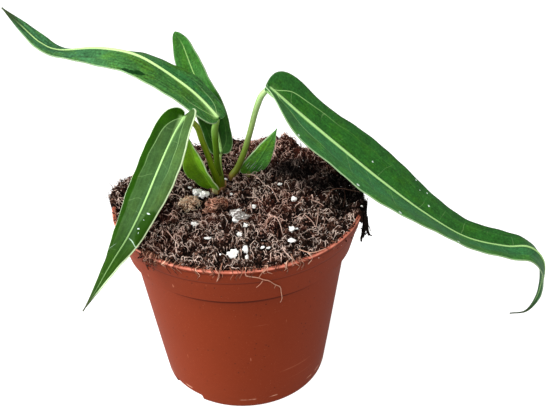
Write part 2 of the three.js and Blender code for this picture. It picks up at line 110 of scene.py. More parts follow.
# A clump that hangs over the rim: its direction and half-width in degrees, and its depth.
HANGING_CLUMP = {"angle": -12.5, "half_angle": 5, "depth": 8}

BLADE = {
    "thickness": 0.5,
    "lobe_rows": 5,
    "tip_half_width": 0.3,
}

# Each leaf's midrib: x, y, z, then in degrees the twist, and the fold of the left and right half.
# "face" is the way that its upper side looks at the stalk. Its lobes reach back past the stalk by
# "lobe", it is a share "shoulder" as wide there, and "taper" shapes its outline toward the tip.
# "rib" is the midrib's half-width at the stalk and at the tip. "rib_shift" moves the midrib across:
# by how much, then where and over how much of the length. Veins leave it every "vein_gap".
LEAVES = {
    "leaf_left": {
        "midrib": [
            (-8.5, 10, 136.5, 0, 5, 5),
            (-16, 14, 144, 0, 1, 1),
            (-25, 17, 151, 1, -1, 3),
            (-43.5, 23, 162.6, 3, -19, -14),
            (-62, 26, 166.2, 4, -28, -23),
            (-81.5, 28, 165, 4, -3, -8),
            (-90.5, 29, 168.6, -9, 10, 10),
            (-98.5, 31, 176.5, -22, 10, 14),
            (-106, 32, 185, -24, 10, 14),
        ],
        "face": (0.66, -0.23, 0.7),
        "half_width": 13.3, "widest_at": 0.22, "lobe": 2, "shoulder": 0.58,
        "taper": (1.6, 0.95), "rows": 28,
        "fine_rows": 190, "wave": 0.2, "fine_columns": 22,
        "rib": (1.35, 0.32), "rib_shift": (0.75, 0.22, 0.1),
        "vein_gap": 9.5, "vein_reach": 5, "roll": 0.03,
    },
    "leaf_right": {
        "midrib": [
            (16, 9, 151, 11, 24, 40),
            (32.1, 4.2, 137.6, 6, 9, 11),
            (49.5, 0.4, 122.8, 5, 12, 10),
            (68.6, -3.6, 107, 4, 13, 11),
            (88.9, -7.7, 91.6, 0, 10, 17),
            (109.3, -10.8, 79.1, -5, 10, 16),
            (128.6, -12.9, 74.5, -3, 9, 9),
            (140, -13, 74, 1, -6, -6),
            (148, -11, 67, 13, -13, -13),
            (152.5, -8, 56, 15, -12, -12),
            (154.7, -2, 36, 13, 2, 2),
            (151.4, 2, 21.6, 11, 8, 8),
            (143.8, 5, 17.4, 10, 8, 8),
        ],
        "face": (0.63, -0.17, 0.76),
        "half_width": 20.3, "widest_at": 0.28, "lobe": 2, "left_lobe": 2.9, "left_corner": 1.1,
        "shoulder": 0.48, "taper": (1.6, 1.45), "rows": 42,
        "fine_rows": 300, "wave": 0.12, "fine_columns": 26,
        "rib": (1.8, 0.3), "vein_gap": 13, "vein_reach": 7, "right_reach": 20, "roll": 0.03,
    },
    "leaf_front": {
        "midrib": [
            (-22, -4, 144, -2, 37, 25),
            (-26, -12, 140, 2, 28, 14),
            (-31.4, -21, 133, 4, 8, 3),
            (-37, -30, 125, 2, -3, -3),
            (-41.7, -38, 117.5, -2, -7, -7),
            (-47.4, -46, 108, -5, -9, -9),
            (-53.2, -52, 99.5, 2, 0, -10),
            (-59.5, -58, 90, 8, 15, 0),
            (-66.2, -62, 81, 8, 10, 0),
        ],
        "face": (-0.3, -0.5, 0.8),
        "half_width": 12, "widest_at": 0.25, "lobe": 4, "shoulder": 0.65,
        "taper": (1.5, 1.15), "rows": 26,
        "fine_rows": 170, "wave": 0.25, "fine_columns": 22,
        "rib": (0.64, 0.1), "rib_shift": (-2.1, 0.45, 0.28),
        "vein_gap": 12, "vein_reach": 5, "roll": 0.1,
    },
    "leaf_back": {
        "midrib": [
            (-8, 15, 115.5, 0, 10, 12),
            (-9.3, 20, 121.5, 0, 5, 5),
            (-12.3, 27, 130, 0, 5, 5),
            (-17, 33, 140, 0, 5, 43),
            (-22, 38, 153, 0, 0, 58),
            (-25, 40, 162, 0, 0, 58),
            (-28.6, 41, 168, 0, 0, 54),
        ],
        "face": (0.2, -0.8, 0.4),
        "half_width": 7.6, "widest_at": 0.3, "lobe": 1.2, "shoulder": 0.52,
        "taper": (4.5, 0.6), "rows": 18,
        "fine_rows": 110, "wave": 0.25, "fine_columns": 16,
        "rib": (0.9, 0.45), "vein_gap": 7, "vein_reach": 4, "roll": 0.04,
    },
    "leaf_low": {
        "midrib": [
            (-12, 5, 102, -42, 10, 30),
            (-15.5, 3, 110, -41, 22, 30),
            (-18.7, 1, 116.6, -41, 26, 26),
            (-20.2, 0, 122.5, -43, 22, 12),
            (-21.8, 0, 132, -45, 20, 8),
        ],
        "face": (0, -0.9, 0.4),
        "half_width": 8, "widest_at": 0.35, "lobe": 0.4, "shoulder": 0.3,
        "taper": (1.6, 1.1), "rows": 11,
        "fine_rows": 80, "wave": 0.3, "fine_columns": 16,
        "rib": (0.7, 0.2), "vein_gap": 6, "vein_reach": 4, "roll": 0.03,
    },
    "leaf_small": {
        "midrib": [
            (4, 22.4, 99.2, 20, 6, 0),
            (9.4, 20, 107, 20, 6, 0),
            (13, 18, 114, 20, 6, 0),
            (16.6, 16, 121.3, 15, 6, 0),
            (19.6, 15, 127.6, 5, 6, 0),
        ],
        "face": (0.2, -0.9, 0.4),
        "half_width": 6.2, "widest_at": 0.3, "lobe": 0.5, "shoulder": 0.9,
        "taper": (1.6, 1.1), "rows": 10,
        "fine_rows": 70, "wave": 0.25, "fine_columns": 14,
        "rib": (0.5, 0.2), "vein_gap": 5, "vein_reach": 3, "roll": 0.03,
    },
}

# A row is x, y, z and the stalk's radius, from inside the soil upwards.
STALKS = {
    "crown": [
        (-9.8, 9, 84, 2.2), (-9.8, 9, 92, 3.2), (-9.8, 9, 99, 3.3),
        (-9.6, 9, 104, 2.9), (-9.6, 8.8, 106.5, 1.8),
    ],
    "left": [
        (-9.3, 9, 96, 1.5), (-9, 9, 103, 1.6), (-9.8, 9, 112, 1.5), (-9.9, 9, 120.5, 1.4),
        (-10, 9.4, 126, 1.6), (-9.9, 9.8, 130.5, 1.7), (-8.6, 10, 136, 1.4),
    ],
    "front": [
        (-10, 8, 97, 1.6), (-10.2, 6.4, 105, 1.7), (-11.6, 4.4, 112, 1.5),
        (-12.8, 3.4, 118, 1.4), (-14.2, 2.6, 124, 1.4), (-15.7, 1.6, 130, 1.4),
        (-17, 1, 136, 1.4), (-19.3, -0.4, 140.1, 1.3), (-21.8, -3.6, 143.6, 1.2),
    ],
    "back": [
        (-8.8, 9.8, 98, 1.2), (-8.2, 11, 103, 1.1), (-8.7, 13.2, 108, 0.9),
        (-8.8, 14.6, 112, 0.9), (-8.1, 15.1, 115.2, 0.8),
    ],
    "low": [(-10.5, 7.5, 96, 1.3), (-11.5, 6.2, 99, 1.3), (-11.9, 5.2, 101.8, 1)],
    "right": [
        (-6.6, 20.5, 86, 1.5), (-4.8, 19.8, 96, 1.9), (-3.2, 19, 100.6, 1.8),
        (-0.5, 18, 105, 1.6), (2.6, 17, 112.7, 1.5), (5.1, 15.2, 121, 1.4),
        (7, 13.8, 128, 1.4), (9.2, 12.2, 136.7, 1.4), (11.1, 11, 143, 1.5),
        (12.8, 10.2, 147.2, 1.5), (15.6, 9.2, 150.8, 1.3),
    ],
    "small": [(3.2, 23.2, 88, 1.2), (4.3, 22.6, 95, 1.3), (4.9, 22.1, 101.2, 1)],
}

# How each stalk is coloured between two heights: shares of the way up, and the shades there.
STALK_TINTS = {
    "crown": (98, 108, [(0, (130, 96, 44)), (0.25, (84, 82, 12)), (0.7, (66, 80, 6)), (1, (74, 96, 10))]),
    "left": (98, 136, [(0, (54, 62, 4)), (0.3, (56, 78, 4)), (0.75, (72, 108, 14)), (1, (128, 172, 80))]),
    "front": (98, 144, [(0, (70, 84, 4)), (0.3, (88, 114, 8)), (0.8, (104, 130, 24)), (1, (136, 158, 66))]),
    "back": (98, 116, [(0, (56, 66, 8)), (0.4, (96, 124, 40)), (1, (156, 190, 110))]),
    "low": (97, 102, [(0, (206, 190, 120)), (0.5, (214, 214, 150)), (1, (92, 132, 30))]),
    "right": (98, 150, [
        (0, (112, 82, 40)), (0.1, (86, 96, 24)), (0.35, (104, 130, 44)), (0.6, (142, 170, 96)),
        (1, (172, 206, 136)),
    ]),
    "small": (97, 102, [(0, (150, 140, 80)), (1, (80, 116, 40))]),
    "scales": (97, 104, [(0, (96, 66, 42)), (0.6, (140, 104, 72)), (1, (178, 146, 108))]),
}

# How each leaf is coloured, as seen on a screen. Left and right are as seen from its stalk.
# "zone" is the band outside the long vein, and the veins' numbers are strengths from 0 to 1. "edges" are the
# strengths of the painted highlight along the left and right margin.
# The grey of leaf_front's halves and of its left zone, and the blue of leaf_right's right half, are a
# painted sheen, the sky's reflection.
PLAIN_LOOK = {"rib_fade": 0.75, "rib_shade": 0.32, "tip_shade": 0.8, "streaks": 0.9, "gloss": 0.1}
YOUNG_LOOK = {"rib_shade": 0, "tip_shade": 0.1}
LEAF_LOOKS = {
    "leaf_left": {
        **PLAIN_LOOK,
        "left": (50, 97, 42), "right": (44, 98, 48), "zone": (52, 100, 46), "tail": (52, 100, 62),
        "rib_tint": (196, 236, 154), "under": (70, 104, 44), "wet": (2, 44, 6),
        "mottle": 1.3, "streaks": 2.2, "glow": 0.5,
        "long_vein": (0.62, 0.5, 0.2), "side_veins": 0.08, "edges": (0.35, 0.1), "tail_from": 0.42,
    },
    "leaf_right": {
        **PLAIN_LOOK,
        "left": (34, 86, 27), "right": (46, 102, 54), "zone": (47, 99, 46), "left_zone": (33, 82, 29),
        "tail": (39, 94, 50), "rib_tint": (172, 218, 138), "under": (46, 62, 20),
        "mottle": 1, "glow": 0.15, "gloss": 0.12,
        "long_vein": (0.64, 0.62, 0.22), "side_veins": 0.2, "edges": (0.12, 0.32), "tail_from": 0.6,
    },
    "leaf_front": {
        **PLAIN_LOOK,
        "left": (53, 82, 44), "right": (47, 74, 35), "zone": (24, 58, 0), "left_zone": (60, 88, 44),
        "tail": (28, 58, 2), "rib_tint": (162, 204, 128), "under": (62, 92, 34), "wet": (26, 58, 0),
        "mottle": 0.35, "glow": 1, "gloss": 0.03, "rib_fade": 0.34,
        "long_vein": (0.6, 0.34, 0.42), "side_veins": 0.12, "edges": (0.9, 0.75), "tail_from": 0.5,
    },
    "leaf_back": {
        **PLAIN_LOOK, **YOUNG_LOOK,
        "left": (33, 73, 17), "right": (27, 69, 14), "zone": (31, 71, 15), "tail": (52, 106, 40),
        "rib_tint": (164, 210, 122), "under": (60, 90, 36), "mottle": 0.9, "glow": 0.1,
        "long_vein": (0.66, 0.1, 0.3), "side_veins": 0.05, "edges": (0.15, 0.3), "tail_from": 0.35,
    },
    "leaf_low": {
        **PLAIN_LOOK, **YOUNG_LOOK,
        "left": (72, 112, 6), "right": (66, 106, 5), "zone": (62, 100, 4), "tail": (82, 126, 18),
        "rib_tint": (104, 142, 36), "under": (84, 118, 40), "mottle": 0.5, "glow": 0.2,
        "long_vein": (0.68, 0.1, 0.3), "side_veins": 0.1, "edges": (0.1, 0.5), "tail_from": 0.15,
    },
    "leaf_small": {
        **PLAIN_LOOK, **YOUNG_LOOK,
        "left": (64, 122, 46), "right": (60, 118, 42), "zone": (72, 132, 52), "tail": (92, 160, 70),
        "rib_tint": (84, 146, 62), "under": (60, 96, 40), "mottle": 1.5, "glow": 0,
        "long_vein": (0.7, 0.1, 0.3), "side_veins": 0.15, "edges": (0.75, 0.75), "tail_from": 0.12,
    },
}
# The undersides differ from the tops in these strengths alone.
UNDER_LOOK = {
    "glow": 0.3, "mottle": 0.3, "edges": (0.1, 0.1), "side_veins": 0.2, "rib_tint": (112, 136, 66),
}

# Marks on the leaves: kind, millimetres along and across the blade, then their reach each way.
# For each kind: the scale of the noise that moves its outline, how far that reaches, and how soft
# the outline is. The noise averages a half, so a mark's middle is set off by half of that reach.
MARK_KINDS = {"wet": (0.5, 1.6, 0.12), "white": (1.6, 0.8, 0.3)}
# The white marks on leaf_front and at the foot of leaf_small are painted glints of water; those on
# leaf_right are white specks.
WHITE_SPECK_AND_GLINT = (206, 226, 216)
LEAF_MARKS = {
    "leaf_left": [("wet", 46.2, -10.7, 5, 1.0), ("wet", 41, -9.4, 3, 1.2)],
    "leaf_right": [
        ("white", 61.2, -7, 0.5, 0.4), ("white", 86.9, -17.2, 0.5, 0.5), ("white", 95.2, -14.6, 0.5, 0.4),
        ("white", 97.7, -6.9, 0.5, 0.6), ("white", 80.6, 18.2, 0.8, 0.5), ("white", 112.6, 14.6, 0.7, 0.5),
        ("white", 22.2, 17, 0.5, 0.5), ("white", 57, 18.6, 0.8, 0.5), ("white", 90.5, -12.6, 0.3, 0.3),
    ],
    "leaf_front": [
        ("wet", 54.5, -6.2, 8, 4.4), ("white", 48.2, -4, 0.28, 0.8), ("white", 51.4, -3, 0.18, 0.2),
        ("white", 55.6, -2.6, 0.24, 0.5), ("white", 57.2, -3.3, 0.28, 0.2),
    ],
    "leaf_small": [
        ("white", 6.6, -3.8, 2.4, 0.1), ("white", 7.4, -1.2, 3, 0.12), ("white", 5.8, 0.8, 2, 0.1),
        ("white", 7.4, 3, 2.4, 0.09), ("white", 5, -2.4, 1.6, 0.1), ("white", 6, 4.4, 1.6, 0.09),
    ],
}

# The dried edge of the water on leaf_front: its place along the midrib, and how much it bows.
WATER_LINE = {"along": 60.8, "bow": 0.08, "wander": 1.2}

# White granules that have their own solids, then smaller ones: x, y and the three half-sizes.
GRANULES = [
    (-20.2, 3.6, 2.1, 1.7, 1.4),
    (-16.4, 0.4, 2.2, 1.8, 1.5),
    (0.3, -17.2, 3.2, 3, 2.2),
    (4, -19.4, 1.6, 1.4, 1.1),
    (7.6, -9.2, 0.8, 1.3, 0.9),
    (26.9, -4.2, 1.5, 1.3, 1.1),
    (24.9, -29, 1.2, 1.3, 1.2),
    (-0.9, -45.6, 2.3, 1.8, 1.4),
    (4.3, -45, 1, 1.7, 1.4),
]
SMALL_GRANULES = [
    (-19.2, -24, 1.5, 1.1, 0.9), (4.1, -26.8, 1, 0.9, 0.8), (1.3, -33.4, 1.2, 1.2, 1),
    (-13.1, -33.4, 1.5, 0.6, 0.6), (24.8, -39, 1.9, 1.3, 0.9), (-6.5, -48.8, 0.8, 0.7, 0.6),
    (-0.8, -22.4, 1.3, 1, 0.9), (11.8, -43, 0.9, 0.6, 0.5), (7.8, 46, 0.7, 0.6, 0.5),
    (20.5, 11.4, 1, 0.8, 0.8), (-24, 9.8, 0.9, 0.7, 0.6), (-6.5, 16.8, 0.6, 0.6, 0.5),
    (-3.4, 2.4, 0.7, 0.6, 0.6), (31.5, 41, 0.9, 0.8, 0.7), (5, -49, 0.7, 1.2, 0.8),
    (27.4, -27.8, 0.8, 0.5, 0.5), (-21.5, 5.6, 0.6, 0.5, 0.5), (14.4, -42.8, 0.8, 0.6, 0.5),
    (58.4, -13.2, 0.5, 0.4, 0.4),
]
# Lumps of coir: x, y and the three half-sizes, then how many fibres wrap them, and the tones of
# the fibres and of the core.
COIR_CLUMPS = [
    (-23, -7.6, 4.2, 3.8, 2.8, 150, 0.9, 0.16),
    (-10.2, -9.8, 5, 5.2, 3, 210, 0.66, 0.1),
]

# Fibres that lie on the soil: how many and their seed, their length and thickness from least to
# most, their tone and its spread, how high they arch, their steps and how much they curl.
LYING_FIBRES = {
    "fine_fibres": (12000, 5, (1.2, 4.5), (0.16, 0.32), (0.27, 0.22), 1, 4, 1.3),
    "pale_fibres": (3700, 7, (1.6, 6), (0.22, 0.36), (0.97, 0.12), 1.3, 5, 1.4),
    "long_fibres": (520, 9, (6, 14), (0.26, 0.38), (0.98, 0.08), 1.8, 10, 1.6),
}
# Crumbs strewn on the soil: how many and their seed, their size from least to most, their tone and
# its spread, and how deep they sit.
STREWN_CRUMBS = {
    "peat_crumbs": (5200, 21, (0.18, 0.75), (0.32, 0.26), 0),
    "pale_crumbs": (1500, 81, (0.14, 0.36), (0.95, 0.08), 0),
    "bark_pieces": (170, 41, (0.7, 1.7), (0.26, 0.2), 0.5),
}
# Where fibres stick out of the soil's edge: first and last angle in degrees, and how far out.
FRINGE_SPANS = [
    (158, 186, 2.6), (160, 184, 1.8), (160, 184, 1.4), (-20, 10, 1.6), (30, 150, 1.4), (-100, -60, 1.5),
]
# Painted shadow and shade on the mix, under the right leaf and in hollows: x, y, the reach each way and how
# dark.
PAINTED_SHADE_PLACES = [
    (30, 23, 15, 10, 1), (45, 11, 16, 11, 1), (56, 0, 9, 15, 1), (61, -13, 5, 6, 1),
    (51, -9, 9, 8, 0.85), (-5, -13.5, 5, 2.6, 0.9), (27, -33, 5, 3, 0.8), (-33, -10, 5, 3.5, 0.7),
    (33, -40, 4, 3, 0.6), (-17.8, -1.5, 2.4, 2.4, 0.8), (-36, -16, 4, 4, 0.5), (4, -3, 3, 2.4, 0.5),
]
# The shades of fibres and crumbs, from the darkest tone to the palest.
BROWN = [
    (0, (10, 6, 4)), (0.25, (34, 20, 16)), (0.5, (84, 56, 45)), (0.72, (148, 111, 95)),
    (1, (236, 212, 197)),
]
TAN = [(0, (40, 24, 14)), (0.35, (112, 80, 58)), (0.65, (200, 160, 124)), (1, (255, 238, 210))]
RUST = [(0, (34, 17, 12)), (0.35, (96, 58, 45)), (0.65, (156, 106, 84)), (1, (234, 190, 164))]

# Long pale roots that lie on the soil: thickness and tone, then x, y and height above the soil.
ROOTS = [
    (0.45, 0.72, [(41.7, -5.9, 0.5), (43.9, -1.4, 1.2), (47, 1.3, 1.6), (51.9, 2, 1.8), (59, -0.3, 1.2)]),
    (0.34, 0.5, [(51.3, 0.1, 1.6), (51.3, -5.5, 1), (49.9, -10.8, 0.4)]),
    (0.46, 0.85, [(1.4, 21.3, 0.8), (5.5, 18.1, 1.4), (9.6, 13.8, 1.2), (13, 10.6, 0.3)]),
    (0.4, 0.85, [(14, 9.7, 0.4), (16.9, 1.8, 1.3), (19.7, -6.6, 0.6)]),
    (0.46, 0.8, [(37.9, -13.8, 1), (37.3, -22.4, 1.6), (36, -29.9, 0.5)]),
    (0.46, 0.86, [(13.4, -28.8, 0.3), (14.3, -23.9, 1.8), (17.1, -23.2, 2), (19.7, -27.5, 1.5),
                  (21, -32.4, 0.3)]),
    (0.38, 0.66, [(11.1, -31.2, 0.4), (15.2, -23.9, 1.2), (20, -12.9, 0.6)]),
    (0.44, 0.9, [(-31.4, -30, 0.5), (-29.2, -34.9, 1.4), (-25, -41.4, 0.5)]),
    (0.46, 0.92, [(7.6, 5.2, 0.8), (7.2, -4.2, 1.2)]),
    (0.42, 0.88, [(4.3, -2.2, 0.6), (8.7, -4.3, 1.4), (11.6, -8, 0.5)]),
    (0.42, 0.8, [(31.1, -18.7, 0.5), (34, -24.8, 1.4), (36, -30.7, 0.8)]),
    (0.44, 0.9, [(20.3, -42.7, 0.7), (21.5, -50.3, 1.3), (24.4, -54.1, 1)]),
    (0.4, 0.7, [(0.9, 1.7, 0.8), (-1, -2.9, 1.2), (-3.2, -8.2, 0.4)]),
    (0.4, 0.75, [(31.2, -4.5, 0.7), (28, -12.4, 1.1)]),
    (0.44, 0.8, [(35, -6.5, 0.8), (38.1, -9.4, 1.2), (40.8, -12.2, 0.5)]),
    (0.4, 0.85, [(-34, 0.7, 0.6), (-30.2, 1.4, 1), (-27.1, -0.6, 0.5)]),
]
# Roots and fibres that hang over the rim: thickness and tone, then x, y and z.
HANGING_ROOTS = [
    (0.46, 0.78, [(4.7, -58.6, 99.6), (4.7, -60.1, 98.8), (4.6, -60.3, 96.5), (7.6, -59.8, 95.3),
                  (10, -59.3, 94.4), (12, -58.6, 92.8), (14.4, -57.9, 91.6), (16.8, -56.2, 88.2),
                  (19.1, -54.9, 85.9), (19.4, -53.6, 81.8), (19.8, -51.8, 77), (18.9, -51, 74.2)]),
    (0.4, 0.7, [(13, -57.8, 99.6), (12.6, -59.2, 98.9), (11.3, -59.7, 97), (10, -59.4, 94.5)]),
    (0.38, 0.7, [(11.7, -58.7, 92.4), (10.4, -58.7, 90.4), (8.8, -58.1, 88.4)]),
    (0.34, 0.7, [(17.1, -56, 87.8), (16.8, -55.8, 86.8), (16.5, -55.7, 85.8)]),
    (0.36, 0.6, [(3.6, -58.6, 99.6), (3.3, -60.8, 98.6), (1.9, -60.3, 95.1)]),
    (0.34, 0.7, [(8, -57.4, 99.2), (11, -58.9, 97), (14.4, -57.9, 95.6)]),
    (0.42, 0.7, [(-5.4, -55.6, 99.8), (-6.4, -60.3, 98.4), (-7.4, -59.4, 94.6), (-8, -58.8, 92.4)]),
    (0.36, 0.66, [(-5.8, -58.4, 99.4), (-5.2, -60.2, 97.6), (-5.4, -59.6, 95.4)]),
    (0.4, 0.8, [(24, -50, 99.8), (25.6, -54.6, 98.6), (27.4, -53.6, 96)]),
    (0.42, 0.85, [(27.6, -46.6, 99.6), (33, -49.4, 99.8), (39.4, -46, 99.4)]),
    (0.6, 0.2, [(-34.6, -44.2, 99.4), (-38.4, -46.4, 98.2), (-40.2, -43.6, 92.6), (-39.6, -42.6, 88)]),
    (0.6, 0.3, [(-33, -47, 99.6), (-36, -48.4, 97.6), (-36, -46.6, 92), (-36.8, -45.4, 89.6)]),
    (0.36, 0.5, [(-38, -42, 99.6), (-42.4, -42.6, 98), (-42, -41.8, 93.6)]),
    (2.4, 0.12, [(59.9, -12.6, 96), (60.2, -13.4, 91), (59.8, -13.6, 86.6), (59.4, -13.6, 82.8)]),
    (1.4, 0.12, [(59.6, -13.6, 85), (58.9, -13.4, 82.2), (58.9, -13.4, 80.2)]),
    (1.8, 0.14, [(60.8, -13, 94), (61.2, -13.8, 90), (61.5, -14, 87), (62.5, -14.2, 84.2)]),
    (0.7, 0.2, [(61.8, -14.2, 86.2), (63, -14.5, 84.4), (63.8, -14.3, 84)]),
    (0.5, 0.3, [(61.2, -12.6, 90), (62.6, -13.2, 88), (63, -13.4, 86)]),
]
# Dry scales round the crown's foot: rows of x, y, z and half-width, then the way the back faces.
SCALES = [
    ([(-12.6, 6.2, 97, 2.2), (-12.8, 5.8, 100, 2), (-12.4, 5.4, 102, 0.8)], (-0.5, -0.8, 0)),
    ([(-8, 6.4, 97, 2), (-7.6, 6, 99.6, 1.7), (-7.2, 5.6, 101.2, 0.6)], (0.5, -0.8, 0)),
    ([(-6.4, 9.8, 97, 2), (-6, 9.8, 100.6, 1.6), (-6.2, 9.8, 102.6, 0.5)], (1, 0, 0)),
]


# Working on meshes

def nothing_selected():
    if bpy.context.object and bpy.context.object.mode != "OBJECT":
        bpy.ops.object.mode_set(mode="OBJECT")
    bpy.ops.object.select_all(action="DESELECT")


def take(*pieces):
    nothing_selected()
    for piece in pieces:
        piece.select_set(True)
    bpy.context.view_layer.objects.active = pieces[0]


def made(name):
    piece = bpy.context.object
    piece.name = name
    piece.data.name = name
    return piece


def finish_modifier(piece, kind, **settings):
    take(piece)
    modifier = piece.modifiers.new(kind.lower(), kind)
    for key, value in settings.items():
        setattr(modifier, key, value)
    bpy.ops.object.modifier_apply(modifier=modifier.name)


def places(piece):
    flat = np.empty(len(piece.data.vertices) * 3)
    piece.data.vertices.foreach_get("co", flat)
    return flat.reshape(-1, 3)


def move_to(piece, points):
    piece.data.vertices.foreach_set("co", np.asarray(points, float).ravel())
    piece.data.update()


def note(piece, name, values):
    values = np.asarray(values, float)
    kind = "FLOAT" if values.ndim == 1 else "FLOAT_VECTOR"
    field = "value" if values.ndim == 1 else "vector"
    attribute = piece.data.attributes.new(name, kind, "POINT")
    attribute.data.foreach_set(field, values.ravel())


def smooth(piece, angle=None):
    take(piece)
    if angle is None:
        bpy.ops.object.shade_smooth()
    else:
        bpy.ops.object.shade_smooth_by_angle(angle=math.radians(angle))


def select_openings():
    """Selects the edges of all openings of the mesh in edit mode."""
    bpy.ops.mesh.select_all(action="DESELECT")
    bpy.ops.mesh.select_non_manifold()


def close_openings():
    """Fills the selected openings, turns all faces outward and leaves edit mode."""
    bpy.ops.mesh.edge_face_add()
    bpy.ops.mesh.select_all(action="SELECT")
    bpy.ops.mesh.normals_make_consistent(inside=False)
    bpy.ops.object.mode_set(mode="OBJECT")


def square_sheet(name, columns, rows):
    """A flat sheet from -1 to 1 each way, to be bent into shape."""
    nothing_selected()
    bpy.ops.mesh.primitive_grid_add(x_subdivisions=columns, y_subdivisions=rows, size=2)
    return made(name)


def new_piece(name, points, faces):
    """A mesh from points in millimetres and faces that count them."""
    mesh = bpy.data.meshes.new(name)
    mesh.from_pydata((points * MM).tolist(), [], faces)
    piece = bpy.data.objects.new(name, mesh)
    bpy.context.scene.collection.objects.link(piece)
    return piece


def joined(name, pieces):
    take(*pieces)
    bpy.ops.object.join()
    return made(name)


def ease(low, high, value):
    t = np.clip((np.asarray(value, float) - low) / (high - low), 0, 1)
    return t * t * (3 - 2 * t)


def mixed(a, b, share):
    return a + (b - a) * share


def curve_through(rows, t):
    """A smooth line through all rows, at places t from 0 to 1."""
    rows = np.asarray(rows, float)
    ends = np.vstack([2 * rows[0] - rows[1], rows, 2 * rows[-1] - rows[-2]])
    place = np.asarray(t, float) * (len(rows) - 1)
    first = np.clip(np.floor(place).astype(int), 0, len(rows) - 2)
    w = (place - first)[:, None]
    p0, p1, p2, p3 = (ends[first + step] for step in range(4))
    leave = 0.5 * (p2 - p0)
    arrive = 0.5 * (p3 - p1)
    cubic = 2 * p1 - 2 * p2 + leave + arrive
    square = 3 * p2 - 3 * p1 - 2 * leave - arrive
    return p1 + leave * w + square * w ** 2 + cubic * w ** 3


def even_stations(rows, count):
    """Places t along the line that are evenly spaced by length, and the line's length."""
    t = np.linspace(0, 1, 2001)
    line = curve_through([row[:3] for row in rows], t)
    run = np.concatenate([[0], np.cumsum(np.linalg.norm(np.diff(line, axis=0), axis=1))])
    return np.interp(np.linspace(0, run[-1], count), run, t), run[-1]


def unit(vectors):
    return vectors / np.maximum(np.linalg.norm(vectors, axis=-1, keepdims=True), 1e-12)


# Materials

def colour(red, green, blue):
    """A colour as it looks on a screen, 0 to 255, made linear."""
    def linear(value):
        value /= 255
        return value / 12.92 if value <= 0.04045 else ((value + 0.055) / 1.055) ** 2.4
    return (linear(red), linear(green), linear(blue), 1)


